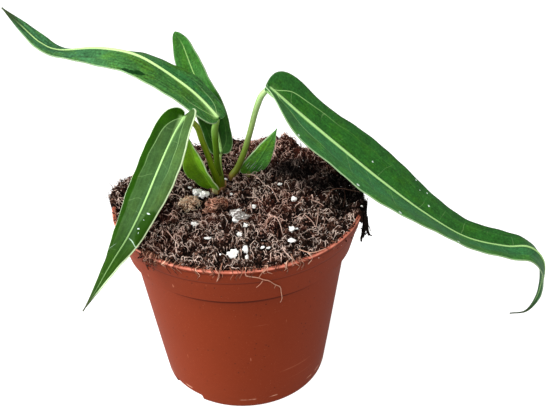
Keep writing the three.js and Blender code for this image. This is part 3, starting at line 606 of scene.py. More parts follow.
class Wiring:
    """Short names for the nodes that the materials are wired from."""

    def __init__(self, tree):
        self.tree = tree

    def node(self, kind, **settings):
        node = self.tree.nodes.new(kind)
        for key, value in settings.items():
            setattr(node, key, value)
        return node

    def feed(self, socket, value):
        if hasattr(value, "is_output"):
            self.tree.links.new(value, socket)
        elif value is not None:
            socket.default_value = value

    def math(self, operation, a, b=None, c=None, clamp=False):
        node = self.node("ShaderNodeMath", operation=operation, use_clamp=clamp)
        for socket, value in zip(node.inputs, (a, b, c)):
            self.feed(socket, value)
        return node.outputs[0]

    def times(self, a, b):
        return self.math("MULTIPLY", a, b)

    def plus(self, a, b):
        return self.math("ADD", a, b)

    def minus(self, a, b):
        return self.math("SUBTRACT", a, b)

    def times_plus(self, a, b, c):
        return self.math("MULTIPLY_ADD", a, b, c)

    def apart(self, a, b):
        """How far two values are apart, either way."""
        return self.math("ABSOLUTE", self.minus(a, b))

    def ramp(self, value, low, high, to_low=0.0, to_high=1.0):
        node = self.node("ShaderNodeMapRange", interpolation_type="SMOOTHSTEP")
        for name, given in (("Value", value), ("From Min", low), ("From Max", high),
                            ("To Min", to_low), ("To Max", to_high)):
            self.feed(node.inputs[name], given)
        return node.outputs[0]

    def mix(self, share, a, b, blend="MIX"):
        """Two colours mixed. The node's colour sockets are 6 and 7 going in and 2 coming out."""
        node = self.node("ShaderNodeMix", data_type="RGBA", blend_type=blend)
        self.feed(node.inputs[0], share)
        self.feed(node.inputs[6], a)
        self.feed(node.inputs[7], b)
        return node.outputs[2]

    def tinted(self, tint, light):
        return self.mix(1.0, tint, light, "MULTIPLY")

    def painted(self, under, shade, mask, share=None):
        """A shade laid over a colour where the mask is 1, by no more than the share."""
        if share is not None:
            mask = self.times(mask, share)
        return self.mix(mask, under, colour(*shade))

    def colours(self, value, stops):
        """The shades at their places on a scale from 0 to 1."""
        node = self.node("ShaderNodeValToRGB")
        band = node.color_ramp
        while len(band.elements) < len(stops):
            band.elements.new(0.5)
        for element, (place, shade) in zip(band.elements, stops):
            element.position = place
            element.color = colour(*shade)
        self.feed(node.inputs[0], value)
        return node.outputs[0]

    def spots(self, vector, scale, detail=2.0, rough=0.5):
        node = self.node("ShaderNodeTexNoise")
        self.feed(node.inputs["Vector"], vector)
        node.inputs["Scale"].default_value = scale
        node.inputs["Detail"].default_value = detail
        node.inputs["Roughness"].default_value = rough
        return node.outputs[0]

    def cells(self, vector, scale, feature="F1"):
        node = self.node("ShaderNodeTexVoronoi", feature=feature)
        self.feed(node.inputs["Vector"], vector)
        node.inputs["Scale"].default_value = scale
        return node.outputs[0]

    def stretched(self, vector, scale):
        node = self.node("ShaderNodeMapping")
        self.feed(node.inputs["Vector"], vector)
        node.inputs["Scale"].default_value = scale
        return node.outputs[0]

    def place(self):
        return self.node("ShaderNodeTexCoord").outputs["Object"]

    def noted(self, name, kind="Vector"):
        return self.node("ShaderNodeAttribute", attribute_name=name).outputs[kind]

    def spot(self, vector, centre, reach, soft):
        """1 inside an ellipse round a place, 0 outside it."""
        gap = self.node("ShaderNodeVectorMath", operation="SUBTRACT")
        self.feed(gap.inputs[0], vector)
        gap.inputs[1].default_value = centre
        share = self.node("ShaderNodeVectorMath", operation="DIVIDE")
        self.feed(share.inputs[0], gap.outputs[0])
        share.inputs[1].default_value = reach
        size = self.node("ShaderNodeVectorMath", operation="LENGTH")
        self.feed(size.inputs[0], share.outputs[0])
        return self.ramp(size.outputs["Value"], 1 - soft, 1 + soft, 1.0, 0.0)

    def wobbled(self, vector, scale, amount):
        """The place moved a little by noise, so that a mark's outline is uneven."""
        cloud = self.node("ShaderNodeTexNoise")
        cloud.inputs["Scale"].default_value = scale
        self.feed(cloud.inputs["Vector"], vector)
        moved = self.node("ShaderNodeVectorMath", operation="MULTIPLY_ADD")
        self.feed(moved.inputs[0], cloud.outputs["Color"])
        moved.inputs[1].default_value = (amount, amount, 0)
        self.feed(moved.inputs[2], vector)
        return moved.outputs[0]

    def split(self, vector):
        node = self.node("ShaderNodeSeparateXYZ")
        self.feed(node.inputs[0], vector)
        return node.outputs

    def bump(self, height, strength, distance):
        node = self.node("ShaderNodeBump")
        self.feed(node.inputs["Height"], height)
        node.inputs["Strength"].default_value = strength
        node.inputs["Distance"].default_value = distance
        return node.outputs[0]

    def group(self, tree, values=None):
        node = self.node("ShaderNodeGroup")
        node.node_tree = tree
        for label, value in (values or {}).items():
            self.feed(node.inputs[label], value)
        return node.outputs


def new_finish(name):
    finish = bpy.data.materials.new(name)
    finish.use_nodes = True
    tree = finish.node_tree
    shader = tree.nodes["Principled BSDF"]
    return finish, Wiring(tree), shader


def dress(w, shader, tint, rough, gloss=None, relief=None):
    """Feeds a shader its colour, roughness, gloss and relief. None leaves a socket as it is."""
    for socket, value in (("Base Color", tint), ("Roughness", rough),
                          ("Specular IOR Level", gloss), ("Normal", relief)):
        w.feed(shader.inputs[socket], value)


def new_group(name, takes, gives):
    tree = bpy.data.node_groups.new(name, "ShaderNodeTree")
    for label, default in takes.items():
        kind = "NodeSocketColor" if isinstance(default, tuple) else "NodeSocketFloat"
        socket = tree.interface.new_socket(label, in_out="INPUT", socket_type=kind)
        socket.default_value = default
    for label, kind in gives.items():
        tree.interface.new_socket(label, in_out="OUTPUT", socket_type=kind)
    wires = Wiring(tree)
    inside = wires.node("NodeGroupInput").outputs
    outside = wires.node("NodeGroupOutput").inputs
    return tree, wires, inside, outside


# What the leaf surface is given: sizes from LEAVES, then strengths from LEAF_LOOKS, then shades.
LEAF_SIZES = ("Length", "Gap", "Reach", "Right reach", "Rib at base", "Rib at tip")
LEAF_STRENGTHS = (
    "Glow", "Side veins", "Mottle", "Rib fade", "Rib shade", "Tip shade", "Streaks", "Tail from",
)
LONG_VEIN = ("Long vein at", "Long vein", "Long vein end")
LEAF_EDGE_HIGHLIGHTS = ("Left edge highlight", "Right edge highlight")
LEAF_SHADES = ("Left", "Right", "Left zone", "Right zone", "Tail", "Rib tint")


def leaf_surface():
    """Colour and relief of a blade: its zones, its midrib and veins, and a painted highlight along its edge.
    """
    takes = dict.fromkeys(LEAF_SIZES + LEAF_STRENGTHS + LONG_VEIN + LEAF_EDGE_HIGHLIGHTS, 0.5)
    takes.update(dict.fromkeys(LEAF_SHADES, (0.2, 0.2, 0.2, 1.0)))
    tree, w, given, gives = new_group(
        "Leaf surface", takes, {"Colour": "NodeSocketColor", "Height": "NodeSocketFloat"})
    place = w.noted("blade_place")
    along, across, half = w.split(place)
    start, share, side = w.split(w.noted("blade_vein"))
    far = w.math("ABSOLUTE", across)
    wander = w.spots(place, 0.12, 1)
    toward_tip = w.math("DIVIDE", along, given["Length"], clamp=True)

    turns = w.math("DIVIDE", start, given["Gap"])
    turns = w.times_plus(side, 0.21, turns)
    turns = w.times_plus(wander, 0.35, turns)
    near = w.math("PINGPONG", turns, 0.5)
    side_vein = w.ramp(w.times(near, given["Gap"]), 0.04, 0.28, 1.0, 0.0)

    # The long vein leaves the stalk, swings out and runs beside the margin, in shallow scallops.
    away = w.math("MAXIMUM", w.plus(along, 0.6), 0.0)
    reach = w.ramp(side, -0.4, 0.4, given["Reach"], given["Right reach"])
    settle = w.math("EXPONENT", w.math("DIVIDE", away, w.times(reach, -1.0)))
    target = w.times(given["Long vein at"], w.minus(1.0, settle))
    target = w.plus(target, w.times_plus(near, -0.08, 0.02))
    beyond = w.minus(share, target)
    off_mm = w.times(w.math("ABSOLUTE", beyond), half)
    fade = w.ramp(toward_tip, w.times(given["Long vein end"], 0.25), given["Long vein end"], 1.0, 0.06)
    long_vein = w.times(w.ramp(off_mm, 0.05, 0.34, 1.0, 0.0), fade)
    outside = w.ramp(beyond, -0.03, 0.08)
    side_vein = w.times(side_vein, w.minus(1.0, outside))

    halves = w.ramp(side, -0.4, 0.4)
    green = w.mix(halves, given["Left"], given["Right"])
    green = w.mix(outside, green, w.mix(halves, given["Left zone"], given["Right zone"]))
    tail_start = given["Tail from"]
    green = w.mix(w.ramp(toward_tip, tail_start, w.plus(tail_start, 0.25)), green, given["Tail"])
    blotch = w.spots(place, 0.16, 3, 0.55)
    streak = w.spots(w.stretched(place, (0.09, 0.9, 0.0)), 1, 3, 0.6)
    fleck = w.spots(place, 0.95, 2, 0.6)
    light = w.times_plus(w.minus(blotch, 0.5), 0.9, 1.0)
    light = w.times_plus(w.minus(streak, 0.5), given["Streaks"], light)
    fleck_on = w.times(w.ramp(fleck, 0.5, 0.72), given["Mottle"])
    light = w.times_plus(fleck_on, 0.55, light)
    dark_fleck = w.times(w.ramp(fleck, 0.46, 0.3), given["Mottle"])
    light = w.times_plus(dark_fleck, -0.3, light)
    net = w.cells(place, 0.42, "DISTANCE_TO_EDGE")
    light = w.times_plus(w.ramp(net, 0.0, 0.14, 1.0, 0.0), 0.12, light)
    green = w.tinted(green, light)
    warm = w.spots(w.stretched(place, (0.07, 0.14, 0.0)), 1, 3, 0.6)
    warm = w.times(w.ramp(warm, 0.48, 0.64), given["Mottle"])
    green = w.mix(w.times(warm, 0.6), green, w.tinted(green, (1.5, 1.2, 0.6, 1.0)))
    patchy = w.ramp(w.spots(place, 0.07, 2), 0.4, 0.6)
    green = w.mix(w.times(w.times(side_vein, given["Side veins"]), patchy), green, given["Rib tint"])
    green = w.mix(w.times(long_vein, given["Long vein"]), green, given["Rib tint"])

    narrowing = w.minus(given["Rib at tip"], given["Rib at base"])
    rib_half = w.times_plus(toward_tip, narrowing, given["Rib at base"])
    glow_near = w.math("EXPONENT", w.times(away, -0.08))
    glow_width = w.times_plus(glow_near, 2.6, w.times(rib_half, 1.7))
    glow = w.times(w.ramp(far, 0.0, glow_width, 0.85, 0.0), w.times_plus(glow_near, 0.85, 0.15))
    glow = w.times(w.times(glow, given["Glow"]), w.ramp(along, -0.7, 0.9))
    green = w.mix(glow, green, given["Rib tint"])
    # A painted shade along both sides of the midrib, where it rises from the blade.
    beside = w.times_plus(rib_half, 0.9, 0.1)
    beside = w.ramp(far, beside, w.plus(beside, 1.3), 1.0, 0.0)
    green = w.painted(
        green, (12, 44, 8), w.times(beside, w.ramp(along, 2.0, 14.0, 0.0, given["Rib shade"])))
    rib = w.ramp(far, w.times(rib_half, 0.55), w.times_plus(rib_half, 0.9, 0.18), 1.0, 0.0)
    tip_fade = w.ramp(toward_tip, 0.84, 0.95, 1.0, 0.05)
    rib_strength = w.times(w.ramp(toward_tip, 0.3, 0.75, 0.95, given["Rib fade"]), tip_fade)
    on_blade = w.ramp(along, -0.7, 0.9)
    rib_strength = w.times(rib_strength, on_blade)
    green = w.mix(w.times(rib, rib_strength), green, given["Rib tint"])
    # A painted highlight along the margin.
    edge_mm = w.times(w.minus(1.0, share), half)
    strength = w.ramp(side, -0.4, 0.4, given["Left edge highlight"], given["Right edge highlight"])
    edge = w.times(w.ramp(edge_mm, 0.12, 0.5, 1.0, 0.0), w.times(strength, tip_fade))
    green = w.painted(green, (214, 238, 190), edge)
    green = w.painted(green, (52, 58, 30), w.ramp(toward_tip, 0.88, 0.98, 0.0, given["Tip shade"]))
    w.feed(gives["Colour"], green)
    height = w.times_plus(w.math("MAXIMUM", side_vein, long_vein), -0.5, w.times(fleck, 0.6))
    w.feed(gives["Height"], w.times_plus(streak, 0.8, height))
    return tree


def leaf_group(w, surface, leaf, look, shades):
    """The leaf surface with one leaf's sizes, strengths and shades."""
    right_reach = leaf.get("right_reach", leaf["vein_reach"])
    sizes = (leaf["length"], leaf["vein_gap"], leaf["vein_reach"], right_reach, *leaf["rib"])
    values = dict(zip(LEAF_SIZES, sizes))
    for label in LEAF_STRENGTHS:
        values[label] = look[label.lower().replace(" ", "_")]
    values.update(zip(LONG_VEIN, look["long_vein"]))
    values.update(zip(LEAF_EDGE_HIGHLIGHTS, look["edges"]))
    for label, shade in zip(LEAF_SHADES, (*shades, look["rib_tint"])):
        values[label] = colour(*shade)
    return w.group(surface, values)


def leaf_finish(name, surface):
    """The blade's upper side, with its water marks, white specks and painted glints."""
    finish, w, shader = new_finish(name + " top")
    look = LEAF_LOOKS[name]
    shades = (look["left"], look["right"], look.get("left_zone", look["zone"]), look["zone"], look["tail"])
    green, height = leaf_group(w, surface, LEAVES[name], look, shades)
    grain = w.spots(w.place(), 900, 2, 0.6)
    rough = w.times_plus(grain, 0.16, 0.44)
    place = w.noted("blade_place")
    moved = {kind: w.wobbled(place, scale, reach) for kind, (scale, reach, _) in MARK_KINDS.items()}
    share = w.split(w.noted("blade_vein"))[1]
    in_from_edge = w.times(w.minus(1.0, share), w.split(place)[2])
    in_from_edge = w.ramp(in_from_edge, 0.25, 0.6)
    for kind, along, across, reach_along, reach_across in LEAF_MARKS.get(name, ()):
        _, wobble, softness = MARK_KINDS[kind]
        middle = (along + wobble / 2, across + wobble / 2, 0)
        mark = w.spot(moved[kind], middle, (reach_along, reach_across, 1e6), softness)
        shade = WHITE_SPECK_AND_GLINT
        if kind == "wet":
            shade = look["wet"]
            mark = w.times(mark, in_from_edge)
            rough = w.times_plus(mark, -0.18, rough)
        green = w.painted(green, shade, mark, 0.92)
    if name == "leaf_front":
        # A film of water covers the tail, and its dried edge shows as a thin pale line.
        along, across, _ = w.split(place)
        line = w.times_plus(w.times(across, across), WATER_LINE["bow"], WATER_LINE["along"])
        line = w.plus(line, w.math("MAXIMUM", across, 0.0))
        line = w.times_plus(w.spots(place, 0.6, 1), WATER_LINE["wander"], line)
        off = w.apart(along, w.minus(line, WATER_LINE["wander"] / 2))
        mark = w.ramp(off, 0.06, 0.32, 1.0, 0.0)
        mark = w.times(mark, w.ramp(w.math("ABSOLUTE", w.plus(across, -1.4)), 1.6, 3))
        green = w.painted(green, (186, 214, 190), w.times(mark, w.ramp(across, -1.0, 1.0, 0.75, 0.4)))
    dress(w, shader, green, rough, look["gloss"], w.bump(height, 0.6, 0.0002))
    return finish


def leaf_under_finish(name, surface):
    finish, w, shader = new_finish(name + " under")
    look = {**LEAF_LOOKS[name], **UNDER_LOOK}
    green, height = leaf_group(w, surface, LEAVES[name], look, [look["under"]] * 5)
    dress(w, shader, green, w.times_plus(height, 0.1, 0.58), 0.12, w.bump(height, 0.5, 0.0002))
    return finish


def edge_finish():
    finish, w, shader = new_finish("leaf edge")
    spots = w.spots(w.place(), 300, 3, 0.6)
    dress(w, shader, w.painted(colour(120, 160, 78), (158, 196, 118), spots), 0.45)
    return finish


def stalk_finish(name, low, high, stops):
    """Streaked along the stalk, and graded between two heights in millimetres."""
    finish, w, shader = new_finish(name)
    height = w.split(w.place())[2]
    share = w.node("ShaderNodeMapRange")
    w.feed(share.inputs["Value"], height)
    share.inputs["From Min"].default_value = low * MM
    share.inputs["From Max"].default_value = high * MM
    tint = w.colours(share.outputs[0], stops)
    skin = w.noted("stem_place")
    streak = w.spots(w.stretched(skin, (1.6, 1.6, 0.05)), 1, 3, 0.6)
    dots = w.spots(skin, 1.6, 2, 0.6)
    light = w.times_plus(w.minus(streak, 0.5), 1.3, 1.0)
    light = w.times_plus(w.ramp(dots, 0.58, 0.72), 0.22, light)
    dress(w, shader, w.tinted(tint, light), w.times_plus(dots, 0.2, 0.34), 0.12, w.bump(streak, 0.3, 0.0002))
    return finish


# Leaves

def blade_half_width(leaf, along):
    share = np.clip(along / leaf["length"], 0, 1)
    near = leaf["half_width"] * (1 - (1 - leaf["shoulder"]) * (1 - share / leaf["widest_at"]) ** 2)
    rest = np.clip((share - leaf["widest_at"]) / (1 - leaf["widest_at"]), 0, 1)
    p, q = leaf["taper"]
    far = np.maximum(leaf["half_width"] * (1 - rest ** p) ** q, BLADE["tip_half_width"])
    return np.where(share < leaf["widest_at"], near, far)


def blade_margin(leaf, row, lobe, corner=0.3):
    """For rows counted from the stalk: the margin's place along and across, and the rib's."""
    lobe_end = 0.6 * leaf["widest_at"] * leaf["length"]
    lobe_width = float(blade_half_width(leaf, np.array(lobe_end)))
    start = min(1.2, 0.2 * lobe_width)
    rib_end = max(lobe_end - 0.5 * lobe_width, 0.5)
    s = np.clip(row / BLADE["lobe_rows"], 0, 1)
    hooks = [(-0.7 * lobe, start), (-1.45 * lobe, start + 0.5 * (lobe_width - start)),
             (-corner * lobe, lobe_width), (lobe_end, lobe_width)]
    weights = [(1 - s) ** 3, 3 * s * (1 - s) ** 2, 3 * s ** 2 * (1 - s), s ** 3]
    lobe_along = sum(w * hook[0] for w, hook in zip(weights, hooks))
    lobe_across = sum(w * hook[1] for w, hook in zip(weights, hooks))
    m = np.clip((row - BLADE["lobe_rows"]) / leaf["rows"], 0, 1)
    along = mixed(lobe_end, leaf["length"], m)
    across = blade_half_width(leaf, along)
    sweep = np.maximum(np.minimum(0.5 * across, along - rib_end), 0)
    in_lobe = row < BLADE["lobe_rows"]
    return (np.where(in_lobe, lobe_along, along), np.where(in_lobe, lobe_across, across),
            np.where(in_lobe, rib_end * s ** 1.3, along - sweep * (1 - m)))


def blade_frames(leaf):
    rows = np.array(leaf["midrib"], float)
    t, leaf["length"] = even_stations(leaf["midrib"], 401)
    centre = curve_through(rows[:, :3], t)
    along = unit(np.gradient(centre, axis=0))
    angles = np.radians(curve_through(rows[:, 3:], t))
    face = np.array(leaf["face"], float)
    faces = []
    for direction in along:
        face = unit(face - face.dot(direction) * direction)
        faces.append(face)
    faces = np.array(faces)
    side = np.cross(along, faces)
    turn = angles[:, :1]
    up = faces * np.cos(turn) + side * np.sin(turn)
    out = side * np.cos(turn) - faces * np.sin(turn)
    return {"centre": centre, "up": up, "out": out, "folds": angles[:, 1:], "start": along[0]}


def on_blade(leaf, frames, along, across, lift):
    count = len(frames["centre"]) - 1
    station = np.clip(along / leaf["length"], 0, 1) * count

    def at(rows):
        whole = np.arange(count + 1)
        return np.stack([np.interp(station, whole, rows[:, k]) for k in range(rows.shape[1])], axis=1)

    folds = at(frames["folds"])
    fold = np.where(across > 0, folds[:, 1], folds[:, 0]) * np.sign(across)
    up = unit(at(frames["up"]))
    out = unit(at(frames["out"]))
    cos, sin = np.cos(fold)[:, None], np.sin(fold)[:, None]
    outward = out * cos + up * sin
    upward = up * cos - out * sin
    before = np.minimum(along, 0)[:, None] * frames["start"]
    return at(frames["centre"]) + before + outward * across[:, None] + upward * lift[:, None]


def leaf_blade(name):
    """A blade with a raised rib above, a keel below, quilting between its veins and a rolled margin."""
    leaf = LEAVES[name]
    frames = blade_frames(leaf)
    piece = square_sheet(name + "_blade", 2 * leaf["fine_columns"], leaf["fine_rows"])
    flat = places(piece)
    share = np.sign(flat[:, 0]) * np.abs(flat[:, 0]) ** 1.5
    far = np.abs(share)
    row = (flat[:, 1] + 1) / 2
    row = (0.75 * row + 0.25 * row ** 2) * (BLADE["lobe_rows"] + leaf["rows"])
    margin_along, margin_across, rib_along = blade_margin(leaf, row, leaf["lobe"])
    left_lobe = leaf.get("left_lobe", leaf["lobe"])
    left_along, _, _ = blade_margin(leaf, row, left_lobe, leaf.get("left_corner", 0.3))
    along = mixed(rib_along, np.where(share < 0, left_along, margin_along), far)
    across = share * margin_across
    taper = np.minimum(margin_across / (0.4 * leaf["half_width"]), 1)
    side = np.where(share > 0, 1.0, -1.0)

    toward_tip = np.clip(along / leaf["length"], 0, 1)
    rib_half = mixed(leaf["rib"][0], leaf["rib"][1], toward_tip)
    amount, middle, spread = leaf.get("rib_shift", (0, 0.5, 1))
    shift = amount * np.exp(-((toward_tip - middle) / spread) ** 2)
    from_rib = across - shift
    foot = 1.5 * rib_half
    ridge = np.where(np.abs(from_rib) < foot, 0.5 + 0.5 * np.cos(np.pi * from_rib / foot), 0)
    turns = rib_along / leaf["vein_gap"] + 0.21 * side
    between = np.sin(np.pi * turns) ** 2
    quilt = 0.12 * taper * (between - 0.5) * np.sin(np.pi * np.clip(far / 0.8, 0, 1))
    wave = leaf["wave"] * taper * np.sin(row * 0.9 + np.where(share > 0, 2, 0)) * far ** 3
    wave += 0.1 * taper * np.sin(row * 2.3 + side) * far ** 4
    roll = -leaf["roll"] * margin_across * np.clip((far - 0.72) / 0.28, 0, 1) ** 2
    middle = quilt + wave + roll
    thin = BLADE["thickness"] * (0.6 + 0.4 * taper)
    top = on_blade(leaf, frames, along, across, middle + thin / 2 + 0.75 * rib_half * ridge)
    under = on_blade(leaf, frames, along, across, middle - thin / 2 - 0.85 * rib_half * ridge)
    move_to(piece, top * MM)
    finish_modifier(piece, "SOLIDIFY", thickness=BLADE["thickness"] * MM, offset=-1,
                    material_offset=1, material_offset_rim=2)
    move_to(piece, np.vstack([top, under]) * MM)
    half_width = np.maximum(margin_across, 0.3)
    note(piece, "blade_place", np.tile(np.stack([along, from_rib, half_width], axis=1), (2, 1)))
    note(piece, "blade_vein", np.tile(np.stack([rib_along, far, side], axis=1), (2, 1)))
    smooth(piece)
    return piece


# Stalks

def stem(name, rows, sides=20, steps_per_row=8):
    """A round stalk through rows of x, y, z and radius, closed at both ends."""
    steps = (len(rows) - 1) * steps_per_row
    t, _ = even_stations(rows, steps + 1)
    line = curve_through([row[:3] for row in rows], t)
    radius = np.interp(t * (len(rows) - 1), range(len(rows)), [row[3] for row in rows])
    along = unit(np.gradient(line, axis=0))
    side = unit(np.cross(along, np.array([0.3, -1, 0.2])))
    up = np.cross(side, along)
    run = np.concatenate([[0], np.cumsum(np.linalg.norm(np.diff(line, axis=0), axis=1))])
    piece = square_sheet(name, sides, steps)
    flat = places(piece)
    step = np.rint((flat[:, 1] + 1) / 2 * steps).astype(int)
    angle = (flat[:, 0] + 1) * math.pi
    reach = radius[step]
    ring = side[step] * np.cos(angle)[:, None] + up[step] * np.sin(angle)[:, None]
    move_to(piece, (line[step] + reach[:, None] * ring) * MM)
    note(piece, "stem_place", np.stack([reach * np.cos(angle), reach * np.sin(angle), run[step]], axis=1))
    take(piece)
    bpy.ops.object.mode_set(mode="EDIT")
    bpy.ops.mesh.select_all(action="SELECT")
    bpy.ops.mesh.remove_doubles(threshold=1e-6)
    select_openings()
    close_openings()
    return piece


# Camera and light

def aim_camera():
    nothing_selected()
    bpy.ops.object.camera_add()
    camera = bpy.context.object
    camera.name = "camera"
    camera.data.sensor_width = CAMERA["film"]
    camera.data.lens = CAMERA["film"] * CAMERA["focal_pixels"] / CAMERA["picture_width"]
    camera.data.clip_start = 0.01
    rise = math.radians(CAMERA["elevation"])
    roll = math.radians(CAMERA["roll"])
    back = Vector((0, -math.cos(rise), math.sin(rise)))
    level = Vector((1, 0, 0))
    upward = Vector((0, math.sin(rise), math.cos(rise)))
    right = math.cos(roll) * level + math.sin(roll) * upward
    up = math.cos(roll) * upward - math.sin(roll) * level
    turn = Matrix((right, up, back)).transposed().to_4x4()
    turn.translation = (Vector(CAMERA["aim"]) + back * CAMERA["distance"]) * MM
    camera.matrix_world = turn
    bpy.context.scene.camera = camera


def soft_light(name, place, size, power, aim, tint):
    nothing_selected()
    bpy.ops.object.light_add(type="AREA", location=place)
    lamp = bpy.context.object
    lamp.name = name
    lamp.data.shape = "DISK"
    lamp.data.size = size
    lamp.data.energy = power
    lamp.data.color = tint
    lamp.rotation_euler = (Vector(aim) - Vector(place)).to_track_quat("-Z", "Y").to_euler()


def studio():
    nothing_selected()
    bpy.ops.mesh.primitive_plane_add(size=6, location=(0, 0, 0))
    floor = made("floor")
    finish, w, shader = new_finish("studio floor")
    grain = w.spots(w.place(), 4, 2)
    grey = w.mix(w.times(grain, 0.02), (0.3, 0.3, 0.3, 1), (0.27, 0.27, 0.27, 1))
    dress(w, shader, grey, 0.9, 0)
    shader.inputs["Emission Color"].default_value = (1, 1, 1, 1)
    seen = w.node("ShaderNodeLightPath").outputs["Is Camera Ray"]
    w.feed(shader.inputs["Emission Strength"], w.times_plus(seen, 0.56, 0.44))
    floor.data.materials.append(finish)
    world = bpy.data.worlds.new("studio")
    bpy.context.scene.world = world
    world.use_nodes = True
    sky = world.node_tree.nodes["Background"]
    sky.inputs["Color"].default_value = (0.97, 0.98, 1, 1)
    sky.inputs["Strength"].default_value = 0.4
    for name, settings in LIGHTS.items():
        soft_light(name, *settings)
    bpy.context.scene.view_settings.view_transform = "Standard"


# Pot

def pot_profile():
    """The pot's section as rows of radius and height: outside from the bottom up, then inside."""
    rim, top = POT["rim_radius"], POT["height"]
    foot, wall = POT["foot_radius"], POT["wall"]
    body, collar, step = POT["body_top_radius"], POT["collar_radius"], POT["collar_bottom"]
    disc, ring, recess = POT["disc_radius"], POT["ring_radius"], POT["recess"]
    outside = [
        (disc, 0), (disc + 0.5, 0.6), (disc + 1.4, recess),
        (ring - 1.2, recess), (ring - 0.4, 0.6), (ring, 0),
        (foot - 2.2, 0), (foot - 1.2, 0.2), (foot - 0.4, 1), (foot, 2.6),
    ]
    outside += [(mixed(foot, body, share), mixed(1.8, step, share)) for share in (0.25, 0.5, 0.75)]
    outside += [
        (body - 0.12, step - 1), (body + 0.1, step - 0.25), (body + 0.7, step),
        (collar - 0.6, step + 0.05), (collar - 0.1, step + 0.35), (collar + 0.1, step + 1.2),
        (58.7, 90.9), (58.8, 91.2), (59, 91.4), (59.2, 91.7),
        (rim - 0.5, top - 2.1), (rim - 0.25, top - 1.6), (rim, top - 1.1), (rim - 0.02, top - 0.6),
        (rim - 0.25, top - 0.2), (rim - 0.7, top), (rim - 1.1, top - 0.02),
    ]
    inside = [
        (rim - 1.5, top - 0.25), (rim - 1.75, top - 0.7), (rim - 1.9, top - 1.3),
        (collar - wall + 0.2, step + 1.6), (body - wall, step + 0.8),
        (foot - wall + 0.3, 6.4), (foot - wall - 1.2, 5.2), (22.8, 5.2),
        (21.2, POT["base_thickness"]), (0, POT["base_thickness"]),
    ]
    return outside + inside


def nursery_pot():
    """The pot's section drawn point by point, spun round, then drilled."""
    nothing_selected()
    bpy.ops.mesh.primitive_plane_add(size=0.01, location=(0, 0, 0))
    pot = made("nursery_pot")
    bpy.ops.object.mode_set(mode="EDIT")
    bpy.ops.mesh.select_all(action="SELECT")
    bpy.ops.mesh.merge(type="CENTER")
    at = (0.0, 0.0)
    for radius, height in pot_profile():
        step = ((radius - at[0]) * MM, 0, (height - at[1]) * MM)
        bpy.ops.mesh.extrude_region_move(TRANSFORM_OT_translate={"value": step})
        at = (radius, height)
    bpy.ops.mesh.select_all(action="SELECT")
    bpy.ops.mesh.spin(steps=POT["sides"], angle=2 * math.pi, center=(0, 0, 0), axis=(0, 0, 1))
    bpy.ops.mesh.select_all(action="SELECT")
    bpy.ops.mesh.remove_doubles(threshold=1e-6)
    bpy.ops.mesh.normals_make_consistent(inside=False)
    bpy.ops.object.mode_set(mode="OBJECT")

    drills = []
    for hole in range(POT["hole_count"]):
        angle = 2 * math.pi * (hole + 0.5) / POT["hole_count"]
        x = POT["hole_circle"] * math.cos(angle) * MM
        y = POT["hole_circle"] * math.sin(angle) * MM
        nothing_selected()
        bpy.ops.mesh.primitive_cylinder_add(
            vertices=32, radius=POT["hole_radius"] * MM, depth=POT["drill_depth"] * MM,
            location=(x, y, POT["drill_height"] * MM))
        drills.append(made("drill"))
    for turn in (0, math.pi):
        nothing_selected()
        bpy.ops.mesh.primitive_cube_add(size=1)
        notch = made("notch")
        angle = math.radians(POT["notch_angle"]) + turn
        notch.scale = (POT["notch_depth"] * MM, POT["notch_width"] * MM, 2 * POT["notch_height"] * MM)
        take(notch)
        bpy.ops.object.transform_apply(location=False, rotation=False, scale=True)
        finish_modifier(notch, "BEVEL", width=POT["notch_round"] * MM, segments=4)
        circle = POT["notch_circle"] * MM
        notch.location = (circle * math.cos(angle), circle * math.sin(angle), 0)
        notch.rotation_euler = (0, 0, angle)
        take(notch)
        bpy.ops.object.transform_apply(location=True, rotation=True, scale=False)
        drills.append(notch)
    cutter = joined("cutter", drills)
    finish_modifier(pot, "BOOLEAN", operation="DIFFERENCE", solver="EXACT", object=cutter, use_self=True)
    bpy.data.objects.remove(cutter)
    smooth(pot, 32)
    return pot


